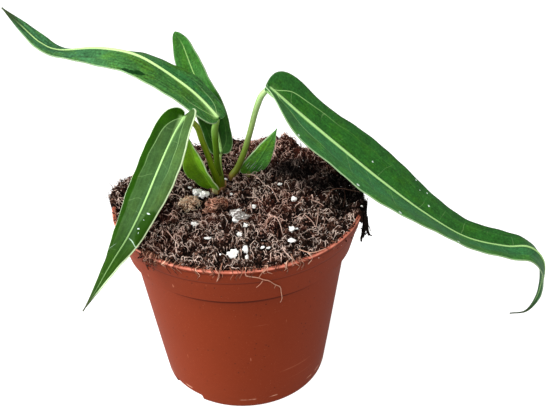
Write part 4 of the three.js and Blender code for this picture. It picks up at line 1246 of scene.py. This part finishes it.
def pot_finish():
    finish, w, shader = new_finish("terracotta plastic")
    place = w.place()
    cloud = w.spots(place, 16, 3, 0.5)
    grain = w.spots(place, 1500, 2, 0.6)
    base = w.mix(cloud, colour(110, 41, 17), colour(126, 48, 22))
    base = w.painted(base, (152, 66, 38), w.ramp(grain, 0.55, 0.75), 0.3)
    # Thin scratches down the wall and scuffs round it.
    down = w.spots(w.stretched(place, (900, 900, 14)), 1, 1, 0.4)
    scratch = w.ramp(down, 0.74, 0.8)
    scratch = w.times(scratch, w.ramp(w.spots(place, 45, 2), 0.52, 0.66))
    round_it = w.spots(w.stretched(place, (20, 20, 1100)), 1, 1, 0.4)
    scuff = w.times(w.ramp(round_it, 0.7, 0.78), w.ramp(w.spots(place, 30, 2), 0.55, 0.7))
    marks = w.math("MAXIMUM", scratch, scuff)
    base = w.painted(base, (206, 136, 108), marks, 0.4)
    dust = w.ramp(w.cells(place, 330), 0.09, 0.16, 1.0, 0.0)
    dust = w.times(dust, w.ramp(w.spots(place, 70, 1), 0.45, 0.55))
    base = w.painted(base, (58, 28, 18), dust, 0.75)
    pale_dust = w.ramp(w.cells(w.stretched(place, (1, 1, 1.3)), 510), 0.03, 0.09, 1.0, 0.0)
    pale_dust = w.times(pale_dust, w.ramp(w.spots(place, 55, 1), 0.48, 0.58))
    base = w.painted(base, (205, 140, 112), pale_dust, 0.5)
    height_mm = w.times(w.split(place)[2], 1 / MM)
    # A painted highlight along the rim's rounded outer edge, broken up by noise.
    lip = w.ramp(w.apart(height_mm, POT["height"] - 0.5), 0.25, 0.6, 1.0, 0.0)
    lip = w.times(lip, w.ramp(w.spots(place, 260, 3), 0.3, 0.6, 0.5, 1.0))
    base = w.painted(base, (232, 146, 124), lip, 0.75)
    for height, reach, share in POT_SHADES:
        shade = w.ramp(w.apart(height_mm, height), 0.3 * reach, reach, share, 0.0)
        base = w.painted(base, (62, 20, 10), shade)
    # The pale line just above the foot: partly wear, partly a painted highlight along the edge there.
    foot = w.apart(height_mm, WEAR_AND_HIGHLIGHT_HEIGHT)
    foot = w.times(w.ramp(foot, 0.1, 0.5, 1.0, 0.0), w.ramp(w.spots(place, 120, 2), 0.5, 0.6))
    base = w.painted(base, (222, 170, 142), foot, 0.7)
    rough = w.times_plus(marks, 0.15, w.times_plus(cloud, 0.14, 0.44))
    dress(w, shader, base, rough, 0.05, w.bump(w.times_plus(marks, 2.0, grain), 0.15, 0.0001))
    return finish


# Soil

def ground(x, y):
    """The soil's height at a place, in millimetres, without its crumbs."""
    back = ease(12, 46, y)
    middle = 1 - np.minimum(np.hypot(x, y) / 58, 1) ** 2
    lumps = (np.sin(0.19 * x + 1.3 * np.sin(0.11 * y)) * np.sin(0.17 * y + 0.6)
             + 0.6 * np.sin(0.37 * x - 0.21 * y + 2) + 0.5 * np.sin(0.43 * y + 0.3 * x))
    height = SOIL["level"] + SOIL["back_rise"] * back + 0.9 * middle + SOIL["lump"] * lumps
    for at_x, at_y, radius, rise in MOUNDS:
        height = height + rise * np.exp(-(np.hypot(x - at_x, y - at_y) / radius) ** 2)
    return height


def spill(angle):
    """How far the soil spills over the rim towards an angle in degrees, 0 to 1."""
    left = np.mod(angle, 360)
    right = np.mod(angle + 180, 360) - 180
    over_left = ease(156, 168, left) * (1 - ease(180, 186, left))
    over_right = ease(-19, -13, right) * (1 - ease(-12, 14, right))
    return np.maximum(over_left, 0.9 * over_right)


def hang_depth(angle, over):
    """How far the soil's edge hangs below the rim."""
    right = np.mod(angle + 180, 360) - 180
    away = (right - HANGING_CLUMP["angle"]) / HANGING_CLUMP["half_angle"]
    clump = np.maximum(1 - away ** 2, 0) * (HANGING_CLUMP["depth"] - SOIL["hang"])
    return SOIL["hang"] + np.where(over > 0, 0.8 * over * np.sin(0.32 * angle) + clump, 1.6)


def soil_edge(angle):
    """The radius where the soil's top ends, towards an angle in radians."""
    degrees = np.degrees(angle)
    over = spill(degrees)
    in_rim = POT["rim_radius"] - 2.6
    ragged = 0.5 * np.sin(degrees * 0.4) + 0.4 * np.sin(degrees * 0.88 + 1)
    return in_rim + (SOIL["overhang_radius"] - in_rim + ragged) * over, over, ragged


def soil_top(x, y):
    """The soil's height with its lip over the rim where it spills."""
    angle = np.mod(np.arctan2(y, x), 2 * math.pi)
    _, over, ragged = soil_edge(angle)
    lip = over * ease(48, 59, np.hypot(x, y))
    return mixed(ground(x, y), POT["height"] + SOIL["lip_cover"] + 0.5 * ragged, lip)


def top_at(x, y):
    return float(soil_top(np.array([x]), np.array([y]))[0])


def rough_noise(x, y, scale, seed):
    return np.array([noise.noise(Vector((a / scale, b / scale, seed))) for a, b in zip(x, y)])


def clods(x, y):
    """Clods and the gaps between them, about -1 to 1."""
    flat_x, flat_y = np.ravel(x), np.ravel(y)
    size = 1.2 * rough_noise(flat_x, flat_y, 3.2, 5.5) + 1.2 * rough_noise(flat_x, flat_y, 1.3, 9.5)
    return size.reshape(np.shape(x))


def rough_top(x, y):
    return soil_top(x, y) + 1.1 * clods(x, y)


def clear_of_lumps(x, y):
    """Whether a place is neither on a granule or clump nor just in front of it."""
    clear = np.ones(np.shape(x), bool)
    for at_x, at_y, a, b, *_ in GRANULES + SMALL_GRANULES + COIR_CLUMPS:
        clear &= ((x - at_x) / (a + 0.4)) ** 2 + ((y - at_y + 0.7) / (b + 1.1)) ** 2 > 1
    return clear


def ring_at(ring, over, radius, hang):
    """The radius and height, all round, of the next ring of the soil's edge."""
    if len(ring) == 2:
        return np.full_like(radius, ring[0]), np.full_like(radius, ring[1])
    out, hang_share, above, step_in, below = ring
    top = POT["height"]
    spilled = radius - 0.2 if out is None else out
    return (np.where(over, spilled, radius - step_in),
            np.where(over, top - hang_share * hang + above, top - below))


def soil_body():
    soil = square_sheet("potting_mix", SOIL["cells"], SOIL["cells"])
    flat = places(soil)
    u = flat[:, 0] * np.sqrt(1 - flat[:, 1] ** 2 / 2)
    v = flat[:, 1] * np.sqrt(1 - flat[:, 0] ** 2 / 2)
    angle = np.mod(np.arctan2(v, u), 2 * math.pi)
    edge, over, _ = soil_edge(angle)
    x = u * edge
    y = v * edge
    z = rough_top(x, y) + 0.6 * rough_noise(x, y, 6, 1.5) + 0.8 * rough_noise(x, y, 1.1, 3.5) - 0.35
    x += 0.5 * rough_noise(x, y, 1.5, 11)
    y += 0.5 * rough_noise(x, y, 1.5, 23)
    move_to(soil, np.stack([x, y, z], axis=1) * MM)

    # The edge is drawn down over the rim or inside it, then back in to the wall, down and closed.
    for ring in EDGE_RINGS + INNER_RINGS:
        take(soil)
        bpy.ops.object.mode_set(mode="EDIT")
        select_openings()
        before = len(soil.data.vertices)
        bpy.ops.mesh.extrude_region()
        bpy.ops.object.mode_set(mode="OBJECT")
        points = places(soil) / MM
        fresh = points[before:]
        around = np.mod(np.arctan2(fresh[:, 1], fresh[:, 0]), 2 * math.pi)
        over = spill(np.degrees(around))
        hang = hang_depth(np.degrees(around), over)
        radius, height = ring_at(ring, over > 0.02, np.hypot(fresh[:, 0], fresh[:, 1]), hang)
        points[before:] = np.stack([radius * np.cos(around), radius * np.sin(around), height], axis=1)
        move_to(soil, points * MM)
    take(soil)
    bpy.ops.object.mode_set(mode="EDIT")
    select_openings()
    close_openings()
    points = places(soil) / MM
    note(soil, "tone", 0.5 + 0.5 * clods(points[:, 0], points[:, 1]))
    smooth(soil)
    return soil


def soil_tone():
    """Where the mix is painted dark as shadow under the right leaf and shade in hollows, and where it is
    reddish.
    """
    tree, w, _, gives = new_group("Soil tone", {}, {"Painted shade": "NodeSocketFloat", "Red": "NodeSocketFloat"})
    place = w.place()
    ragged = w.spots(place, 150, 3, 0.6)
    painted_shade = None
    for x, y, reach_x, reach_y, share in PAINTED_SHADE_PLACES:
        mark = w.spot(place, (x * MM, y * MM, 0), (reach_x * MM, reach_y * MM, 1e3), 0.45)
        mark = w.times(mark, share)
        painted_shade = mark if painted_shade is None else w.math("MAXIMUM", painted_shade, mark)
    w.feed(gives["Painted shade"], w.times(painted_shade, w.ramp(ragged, 0.25, 0.5, 0.55, 1.0)))
    back = w.ramp(w.split(place)[1], 0.012, 0.045)
    patch = w.ramp(w.spots(place, 55, 2), 0.48, 0.66)
    w.feed(gives["Red"], w.math("MAXIMUM", w.times(back, 0.8), w.times(patch, 0.7)))
    return tree


def soil_finish(tone_group):
    finish, w, shader = new_finish("dark peat")
    place = w.place()
    painted_shade, red = w.group(tone_group)
    big = w.spots(place, 130, 3, 0.6)
    small = w.spots(place, 1000, 3, 0.7)
    tint = w.colours(small, [(0.32, (10, 6, 5)), (0.5, (40, 24, 18)), (0.68, (96, 64, 50))])
    tint = w.painted(tint, (14, 8, 6), w.ramp(big, 0.35, 0.6, 0.75, 0.0))
    tint = w.painted(tint, (84, 36, 26), red, 0.5)
    # Painted shade in the gaps between clods, read from the tone noted on the soil.
    gaps = w.ramp(w.noted("tone", "Fac"), 0.2, 0.75, 0.9, 0.0)
    tint = w.painted(tint, (8, 5, 4), gaps)
    # Painted shadow and shade from the soil tone group.
    tint = w.painted(tint, (4, 3, 3), painted_shade, 0.95)
    dress(w, shader, tint, 0.95, 0.04, w.bump(small, 0.8, 0.0006))
    return finish


def fibre_finish(name, stops, tone_group, painted_shade_share=0.95):
    """Fibres and crumbs take their shade from the tone noted on each of them."""
    finish, w, shader = new_finish(name)
    painted_shade, red = w.group(tone_group)
    tone = w.noted("tone", "Fac")
    tint = w.colours(tone, stops)
    tint = w.mix(w.times(red, 0.4), tint, w.tinted(tint, (1.25, 0.72, 0.6, 1)))
    tint = w.painted(tint, (30, 17, 13), w.ramp(w.spots(w.place(), 900, 2), 0.4, 0.7), 0.25)
    # Painted shadow and shade from the soil tone group, by the given share.
    tint = w.painted(tint, (5, 3, 3), w.times(painted_shade, painted_shade_share))
    dress(w, shader, tint, 0.75, 0.08)
    return finish


def strand_mesh(name, lines, radii, tones, sides=3):
    """Thin fibres: lines is (count, steps, 3) in millimetres, radii (count, steps), tones (count,)."""
    count, steps, _ = lines.shape
    along = unit(np.gradient(lines, axis=1))
    side = unit(np.cross(along, np.array([0.13, 0.21, 1.0])))
    up = np.cross(side, along)
    angle = np.arange(sides) * 2 * math.pi / sides
    ring = (side[:, :, None, :] * np.cos(angle)[None, None, :, None]
            + up[:, :, None, :] * np.sin(angle)[None, None, :, None])
    points = (lines[:, :, None, :] + ring * radii[:, :, None, None]).reshape(-1, 3)
    first = np.arange(count) * steps * sides
    base = first[:, None, None] + (np.arange(steps - 1) * sides)[None, :, None]
    here = np.arange(sides)
    a = base + here
    b = base + (here + 1) % sides
    quads = np.stack([a, b, b + sides, a + sides], axis=-1).reshape(-1, 4)
    start = first[:, None] + here[::-1]
    end = first[:, None] + (steps - 1) * sides + here
    piece = new_piece(name, points, quads.tolist() + start.tolist() + end.tolist())
    note(piece, "tone", np.repeat(tones, steps * sides))
    piece.data.shade_smooth()
    return piece


def lying_fibres(name, count, seed, length, thick, tone, arch, steps, curl):
    """Fibres that lie on the soil in every direction, each with its own bend."""
    rng = np.random.default_rng(seed)
    angle = rng.uniform(0, 2 * math.pi, count)
    radius = soil_edge(angle)[0] * np.sqrt(rng.uniform(0, 1, count))
    heading = rng.uniform(0, 2 * math.pi, count)
    reach = rng.uniform(length[0], length[1], count) * rng.uniform(0.4, 1, count)
    bend = rng.normal(0, curl, count)
    t = np.linspace(-0.5, 0.5, steps)[None, :]
    way = heading[:, None] + bend[:, None] * t
    dx = np.cos(way)
    dy = np.sin(way)
    x = (radius * np.cos(angle))[:, None] + reach[:, None] * (np.cumsum(dx, axis=1) - dx / 2) / steps
    y = (radius * np.sin(angle))[:, None] + reach[:, None] * (np.cumsum(dy, axis=1) - dy / 2) / steps
    far = np.hypot(x, y)
    edge, over, _ = soil_edge(np.mod(np.arctan2(y, x), 2 * math.pi))
    limit = edge + 0.3 + 0.9 * (1 - over)
    shrink = np.minimum(1, limit / np.maximum(far, 1e-6))
    x, y = x * shrink, y * shrink
    rise = rng.uniform(-0.3, 1, count)[:, None] * arch
    tilt = rng.normal(0, 0.45, count)[:, None] * arch
    lift = rng.uniform(-0.3, 0.7, count)[:, None]
    z = rough_top(x, y) + lift + rise * (1 - (2 * t) ** 2) + tilt * 2 * t
    wide = rng.uniform(thick[0], thick[1], count)[:, None] / 2
    radii = wide * (1.0 - 0.55 * np.abs(2 * t) ** 2)
    # Fibres on clods are paler and those in the gaps darker, a painted shade; those towards the front left
    # are paler, a painted light where the leaves above keep the lamps off.
    on_clod = clods(x[:, steps // 2], y[:, steps // 2])
    painted_light_front_left = ease(4, -26, x[:, 0]) * ease(-6, -24, y[:, 0])
    tones = np.clip(rng.normal(tone[0], tone[1], count) + 0.35 * on_clod + 0.22 * painted_light_front_left, 0, 1)
    keep = (on_clod + rng.normal(0, 0.35, count) > -0.4) & clear_of_lumps(x, y).all(axis=1)
    return strand_mesh(name, np.stack([x, y, z], axis=-1)[keep], radii[keep], tones[keep])


def fringe(name, count, seed, spans):
    """Fibres that stick out of the soil's edge, within the spans."""
    rng = np.random.default_rng(seed)
    span = np.array(spans)[rng.integers(0, len(spans), count)]
    angle = np.radians(rng.uniform(span[:, 0], span[:, 1]))
    out = span[:, 2] * rng.uniform(0.3, 1, count)
    edge = soil_edge(np.mod(angle, 2 * math.pi))[0] - rng.uniform(0, 2.5, count)
    steps = 5
    t = np.linspace(0, 1, steps)[None, :]
    slant = rng.normal(0, 0.9, count)[:, None]
    curve = rng.normal(0, 0.8, count)[:, None]
    radius = edge[:, None] + out[:, None] * t
    sweep = (out[:, None] * (slant * t + curve * t ** 2)) / edge[:, None]
    x = radius * np.cos(angle[:, None] + sweep)
    y = radius * np.sin(angle[:, None] + sweep)
    top = soil_top(edge * np.cos(angle), edge * np.sin(angle))[:, None]
    over = spill(np.degrees(angle))
    drop = np.minimum(hang_depth(np.degrees(angle), over), 4)[:, None] * rng.uniform(0, 1, count)[:, None]
    z = top - drop * (over > 0.1)[:, None] + rng.normal(0.4, 1.6, count)[:, None] * t
    radii = rng.uniform(0.1, 0.19, count)[:, None] * (1 - 0.6 * t)
    tones = np.clip(rng.normal(0.5, 0.2, count), 0, 1)
    return strand_mesh(name, np.stack([x, y, z], axis=-1), radii, tones)


def wisps(name, count, seed):
    """Short fibres that lie across the lip and hang down the pot's wall, half of them at the front left."""
    rng = np.random.default_rng(seed)
    at_left = rng.uniform(0, 1, count) < 0.5
    angle = np.where(at_left, rng.normal(-129, 4, count), rng.uniform(-122, -40, count))
    angle = np.radians(angle)
    steps = 8
    t = np.linspace(0, 1, steps)[None, :]
    drop = rng.uniform(1, 6, count)[:, None] * np.maximum(t - 0.35, 0) / 0.65
    z = POT["height"] + 0.8 - 0.9 * ease(0.2, 0.5, t) - drop
    radius = POT["rim_radius"] + 0.5 - 2.4 * (1 - ease(0, 0.4, t)) + 0.2 * np.sin(3 * t + 9 * angle[:, None])
    radius = np.where(drop > 0, radius - 0.22 * drop, radius)
    sweep = rng.normal(0, 0.03, count)[:, None] * t + 0.012 * np.sin(7 * t + 9 * angle[:, None])
    x = radius * np.cos(angle[:, None] + sweep)
    y = radius * np.sin(angle[:, None] + sweep)
    radii = rng.uniform(0.15, 0.26, count)[:, None] * (1 - 0.5 * t)
    tones = np.clip(rng.normal(0.5, 0.35, count), 0, 1)
    return strand_mesh(name, np.stack([x, y, z], axis=-1), radii, tones)


def root_pieces(name, rows, on_soil):
    """Single roots through listed points, of one thickness each that tapers to its end."""
    steps = 22
    lines, radii, tones = [], [], []
    for thick, tone, points in rows:
        line = curve_through(points, np.linspace(0, 1, steps))
        if on_soil:
            line[:, 2] += 0.6 + soil_top(line[:, 0], line[:, 1])
        lines.append(line)
        radii.append(thick / 2 * np.linspace(1.05, 0.7, steps))
        tones.append(tone)
    return strand_mesh(name, np.array(lines), np.array(radii), np.array(tones), 6)


def wound_fibres(name, centre, half_sizes, count, seed, tone):
    """Curled fibres that wrap a lump on every side."""
    rng = np.random.default_rng(seed)
    steps = 6
    away = unit(rng.normal(0, 1, (count, 3)) + (0, 0, 0.5))
    turn = unit(np.cross(away, rng.normal(0, 1, (count, 3))))
    span = rng.uniform(0.4, 1.3, count)[:, None] * np.linspace(-0.5, 0.5, steps)[None, :]
    ball = away[:, None, :] * np.cos(span)[:, :, None] + turn[:, None, :] * np.sin(span)[:, :, None]
    flat_x, flat_y, flat_z = (ball[..., axis].ravel() for axis in range(3))
    bumpy = 1 + 0.5 * rough_noise(1.6 * flat_x, 1.6 * flat_y + flat_z, 1, seed)
    bumpy = bumpy.reshape(count, steps)
    loose = rng.uniform(0.8, 1.25, count)[:, None, None] + rng.normal(0, 0.09, (count, steps, 1))
    loose = loose * bumpy[:, :, None]
    radii = rng.uniform(0.18, 0.3, count)[:, None] * np.linspace(1, 0.6, steps)[None, :]
    # Fibres on the lump's bulges are paler and those in its dips darker, a painted shade.
    tones = np.clip(rng.normal(tone, 0.34, count) + 0.8 * (bumpy.mean(axis=1) - 1), 0, 1)
    return strand_mesh(name, centre + ball * loose * half_sizes, radii, tones)


def crumbs(name, seed, x, y, z, size, tone):
    """Rough crumbs: one crumb, modelled once and set down in many sizes at x, y, z."""
    rng = np.random.default_rng(seed)
    count = len(x)
    nothing_selected()
    bpy.ops.mesh.primitive_ico_sphere_add(subdivisions=1, radius=1)
    model = made("crumb_model")
    shape = places(model)
    faces = np.array([list(face.vertices) for face in model.data.polygons])
    bpy.data.objects.remove(model)
    points, tris, tones = [], [], []
    for index in range(count):
        reach = size[0] + (size[1] - size[0]) * rng.uniform() ** 2.5
        body = shape * rng.uniform(0.65, 1.25, (len(shape), 1)) * reach * rng.uniform(0.55, 1.2, 3)
        about = Matrix.Rotation(rng.uniform(0, 6.28), 3, "Z")
        turn = np.array(about @ Matrix.Rotation(rng.uniform(0, 6.28), 3, "X"))
        points.append(body @ turn.T + (x[index], y[index], z[index]))
        tris.append(faces + index * len(shape))
        tones.append(np.full(len(shape), np.clip(rng.normal(tone[0], tone[1]), 0, 1)))
    piece = new_piece(name, np.concatenate(points), np.concatenate(tris).tolist())
    note(piece, "tone", np.concatenate(tones))
    return piece


def strewn_crumbs(name, count, seed, size, tone, sink=0.0):
    rng = np.random.default_rng(seed)
    angle = rng.uniform(0, 2 * math.pi, count)
    radius = soil_edge(angle)[0] * np.sqrt(rng.uniform(0, 1, count))
    x, y = radius * np.cos(angle), radius * np.sin(angle)
    keep = clear_of_lumps(x, y)
    x, y = x[keep], y[keep]
    z = rough_top(x, y) + rng.uniform(-0.2, 0.8, len(x)) - sink
    return crumbs(name, seed + 1, x, y, z, size, tone)


def rim_crumbs(name, count, seed, size, tone):
    """Crumbs spilled on the lip, most of them at the front left and at the right."""
    rng = np.random.default_rng(seed)
    angle = np.radians(rng.uniform(-176, -22, count))
    thick_at = rng.uniform(0, 1, count) < 0.4
    angle = np.where(thick_at, np.radians(rng.normal(-131, 3.5, count)), angle)
    angle = np.where(rng.uniform(0, 1, count) < 0.2, np.radians(rng.normal(-30, 8, count)), angle)
    radius = POT["rim_radius"] - 0.2 - np.abs(rng.normal(0, 1.3, count))
    z = POT["height"] + np.where(radius < POT["rim_radius"] - 1.6, -0.4, 0.15)
    falls = thick_at & (rng.uniform(0, 1, count) < 0.3)
    z = np.where(falls, z - rng.uniform(0.5, 7, count), z)
    on_clump = rng.uniform(0, 1, count) < 0.25
    angle = np.where(on_clump, np.radians(rng.normal(-12.7, 1.1, count)), angle)
    radius = np.where(falls, np.interp(z, [90, 97, 99], [59.3, 60.6, 60.8]), radius)
    z = np.where(on_clump, rng.uniform(84, 98, count), z)
    radius = np.where(on_clump, 61.4 + rng.normal(0, 0.5, count), radius)
    return crumbs(name, seed + 1, radius * np.cos(angle), radius * np.sin(angle), z, size, tone)


# Granules and clumps

def rough_lump(name, centre, half_sizes, seed, subdivisions=4, pits=0.25):
    nothing_selected()
    bpy.ops.mesh.primitive_ico_sphere_add(subdivisions=subdivisions, radius=1)
    lump = made(name)
    shaped = []
    for point in places(lump):
        at = Vector(point)
        big = noise.noise(at * 1.1 + Vector((seed, 0, 0)))
        small = noise.noise(at * 2.7 + Vector((0, seed, 0)))
        cell = noise.cell(at * 3.1 + Vector((seed, seed, 0)))
        shaped.append(point * (0.95 + 0.75 * big + 0.4 * small - pits * 0.5 * cell))
    move_to(lump, (np.array(shaped) * half_sizes + centre) * MM)
    smooth(lump, 40)
    return lump


def perlite_finish(name, stain_share):
    finish, w, shader = new_finish(name)
    place = w.place()
    pores = w.cells(place, 1400)
    tint = w.mix(w.ramp(pores, 0.15, 0.5), colour(196, 190, 180), colour(250, 249, 246))
    low = 0.72 - 0.34 * stain_share
    stain = w.ramp(w.spots(w.stretched(place, (1, 2.6, 1.8)), 420, 3), low, low + 0.12)
    tint = w.painted(tint, (84, 70, 62), stain, 0.55 + 0.3 * stain_share)
    dress(w, shader, tint, 0.85, relief=w.bump(pores, 0.5, 0.0004))
    return finish


def papery_scale(name, rows, outward):
    """A dried scale at the crown's foot: rows of x, y, z and half-width, bent round the stalks."""
    steps, across = 14, 8
    line = curve_through([row[:3] for row in rows], np.linspace(0, 1, steps + 1))
    row_places = np.linspace(0, 1, len(rows))
    wide = np.interp(np.linspace(0, 1, steps + 1), row_places, [row[3] for row in rows])
    along = unit(np.gradient(line, axis=0))
    side = unit(np.cross(along, np.array(outward, float)))
    out = np.cross(side, along)
    piece = square_sheet(name, across, steps)
    flat = places(piece)
    step = np.rint((flat[:, 1] + 1) / 2 * steps).astype(int)
    u = flat[:, 0][:, None]
    reach = wide[step][:, None]
    crinkle = 0.12 * np.sin(5 * flat[:, 0] + 9 * flat[:, 1])[:, None]
    back = reach * (1 - np.cos(1.2 * u)) + crinkle
    points = line[step] + side[step] * reach * np.sin(1.2 * u) - out[step] * back
    move_to(piece, points * MM)
    finish_modifier(piece, "SOLIDIFY", thickness=0.22 * MM, offset=0)
    note(piece, "stem_place", places(piece) / MM)
    smooth(piece)
    return piece


def placed(piece, finish, slot, *nodes):
    """Gives a piece its finish and body, and hides the solids that it stands for. Its slot is not used."""
    if finish is not None:
        piece.data.materials.append(finish)
    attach(piece, "root")
    if nodes:
        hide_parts(*nodes)


# The whole plant

aim_camera()
studio()

placed(nursery_pot(), pot_finish(), "pot_plastic", "pot")

tones = soil_tone()
coir = fibre_finish("coir fibre", BROWN, tones)
tan_coir = fibre_finish("tan coir", TAN, tones)
rust_coir = fibre_finish("rust coir", RUST, tones)
root_skin = fibre_finish("pale root", BROWN, tones, 0.55)
placed(soil_body(), soil_finish(tones), "soil", "soil")
strewn = [lying_fibres(name, *settings) for name, settings in LYING_FIBRES.items()]
strewn.append(fringe("edge_fibres", 560, 31, FRINGE_SPANS))
strewn += [strewn_crumbs(name, *settings) for name, settings in STREWN_CRUMBS.items()]
strewn.append(rim_crumbs("rim_crumbs", 900, 51, (0.16, 0.62), (0.36, 0.24)))
for piece in strewn:
    placed(piece, coir, "soil")
placed(root_pieces("lying_roots", ROOTS, True), root_skin, "soil")
placed(root_pieces("hanging_roots", HANGING_ROOTS, False), rust_coir, "soil")
placed(wisps("rim_wisps", 80, 91), rust_coir, "soil")

white = perlite_finish("perlite", 0)
stained = perlite_finish("stained perlite", 1)
for index, (x, y, a, b, c) in enumerate(GRANULES):
    centre = (x, y, top_at(x, y) + 0.6 * c)
    grain = rough_lump("perlite_grain_%d" % (index + 1), centre, (a, b, c), 3.1 * index + 1)
    placed(grain, stained if index in (2, 3) else white, "perlite", "perlite_%d" % (index + 1))
small = [rough_lump("small", (x, y, top_at(x, y) + 0.7 * c), (a, b, c), 2.3 * index + 7, 3)
         for index, (x, y, a, b, c) in enumerate(SMALL_GRANULES)]
placed(joined("small_perlite", small), white, "perlite")
placed(strewn_crumbs("perlite_dust", 240, 61, (0.12, 0.36), (0.5, 0)), white, "perlite")
for index, (x, y, a, b, c, count, tone, core_tone) in enumerate(COIR_CLUMPS):
    centre = (x, y, top_at(x, y) + 0.3 * c)
    core = rough_lump("coir_core", centre, (0.6 * a, 0.7 * b, 0.8 * c), 5.3 * index + 2, 4, 0.5)
    note(core, "tone", np.full(len(core.data.vertices), core_tone))
    wrapped = np.array([0.9 * a, 0.9 * b, 1.1 * c])
    fibres = wound_fibres("coir_curls", centre, wrapped, count, 71 + index, tone)
    clump = joined("coir_lump_%d" % (index + 1), [core, fibres])
    placed(clump, (tan_coir, rust_coir)[index], "coir", "coir_clump_%d" % (index + 1))

surface = leaf_surface()
edge = edge_finish()
for name in LEAVES:
    blade = leaf_blade(name)
    blade.data.materials.append(leaf_finish(name, surface))
    blade.data.materials.append(leaf_under_finish(name, surface))
    placed(blade, edge, "leaf_young" if name == "leaf_low" else "leaf_green", name)

stems = {}
for key, rows in STALKS.items():
    stems[key] = stem(key + "_stem", rows)
    stems[key].data.materials.append(stalk_finish(key + " stalk", *STALK_TINTS[key]))
papery = stalk_finish("papery scale", *STALK_TINTS["scales"])
scales = [papery_scale("scale", rows, outward) for rows, outward in SCALES]
for scale in scales:
    scale.data.materials.append(papery)
shoot = joined("shoot_stalks", [stems[key] for key in ("crown", "left", "front", "back", "low")] + scales)
smooth(shoot, 60)
placed(shoot, None, "stalk_olive", "shoot")
for key, node in (("right", "stalk_right"), ("small", "stalk_small")):
    smooth(stems[key], 60)
    placed(stems[key], None, "stalk_pale", node)
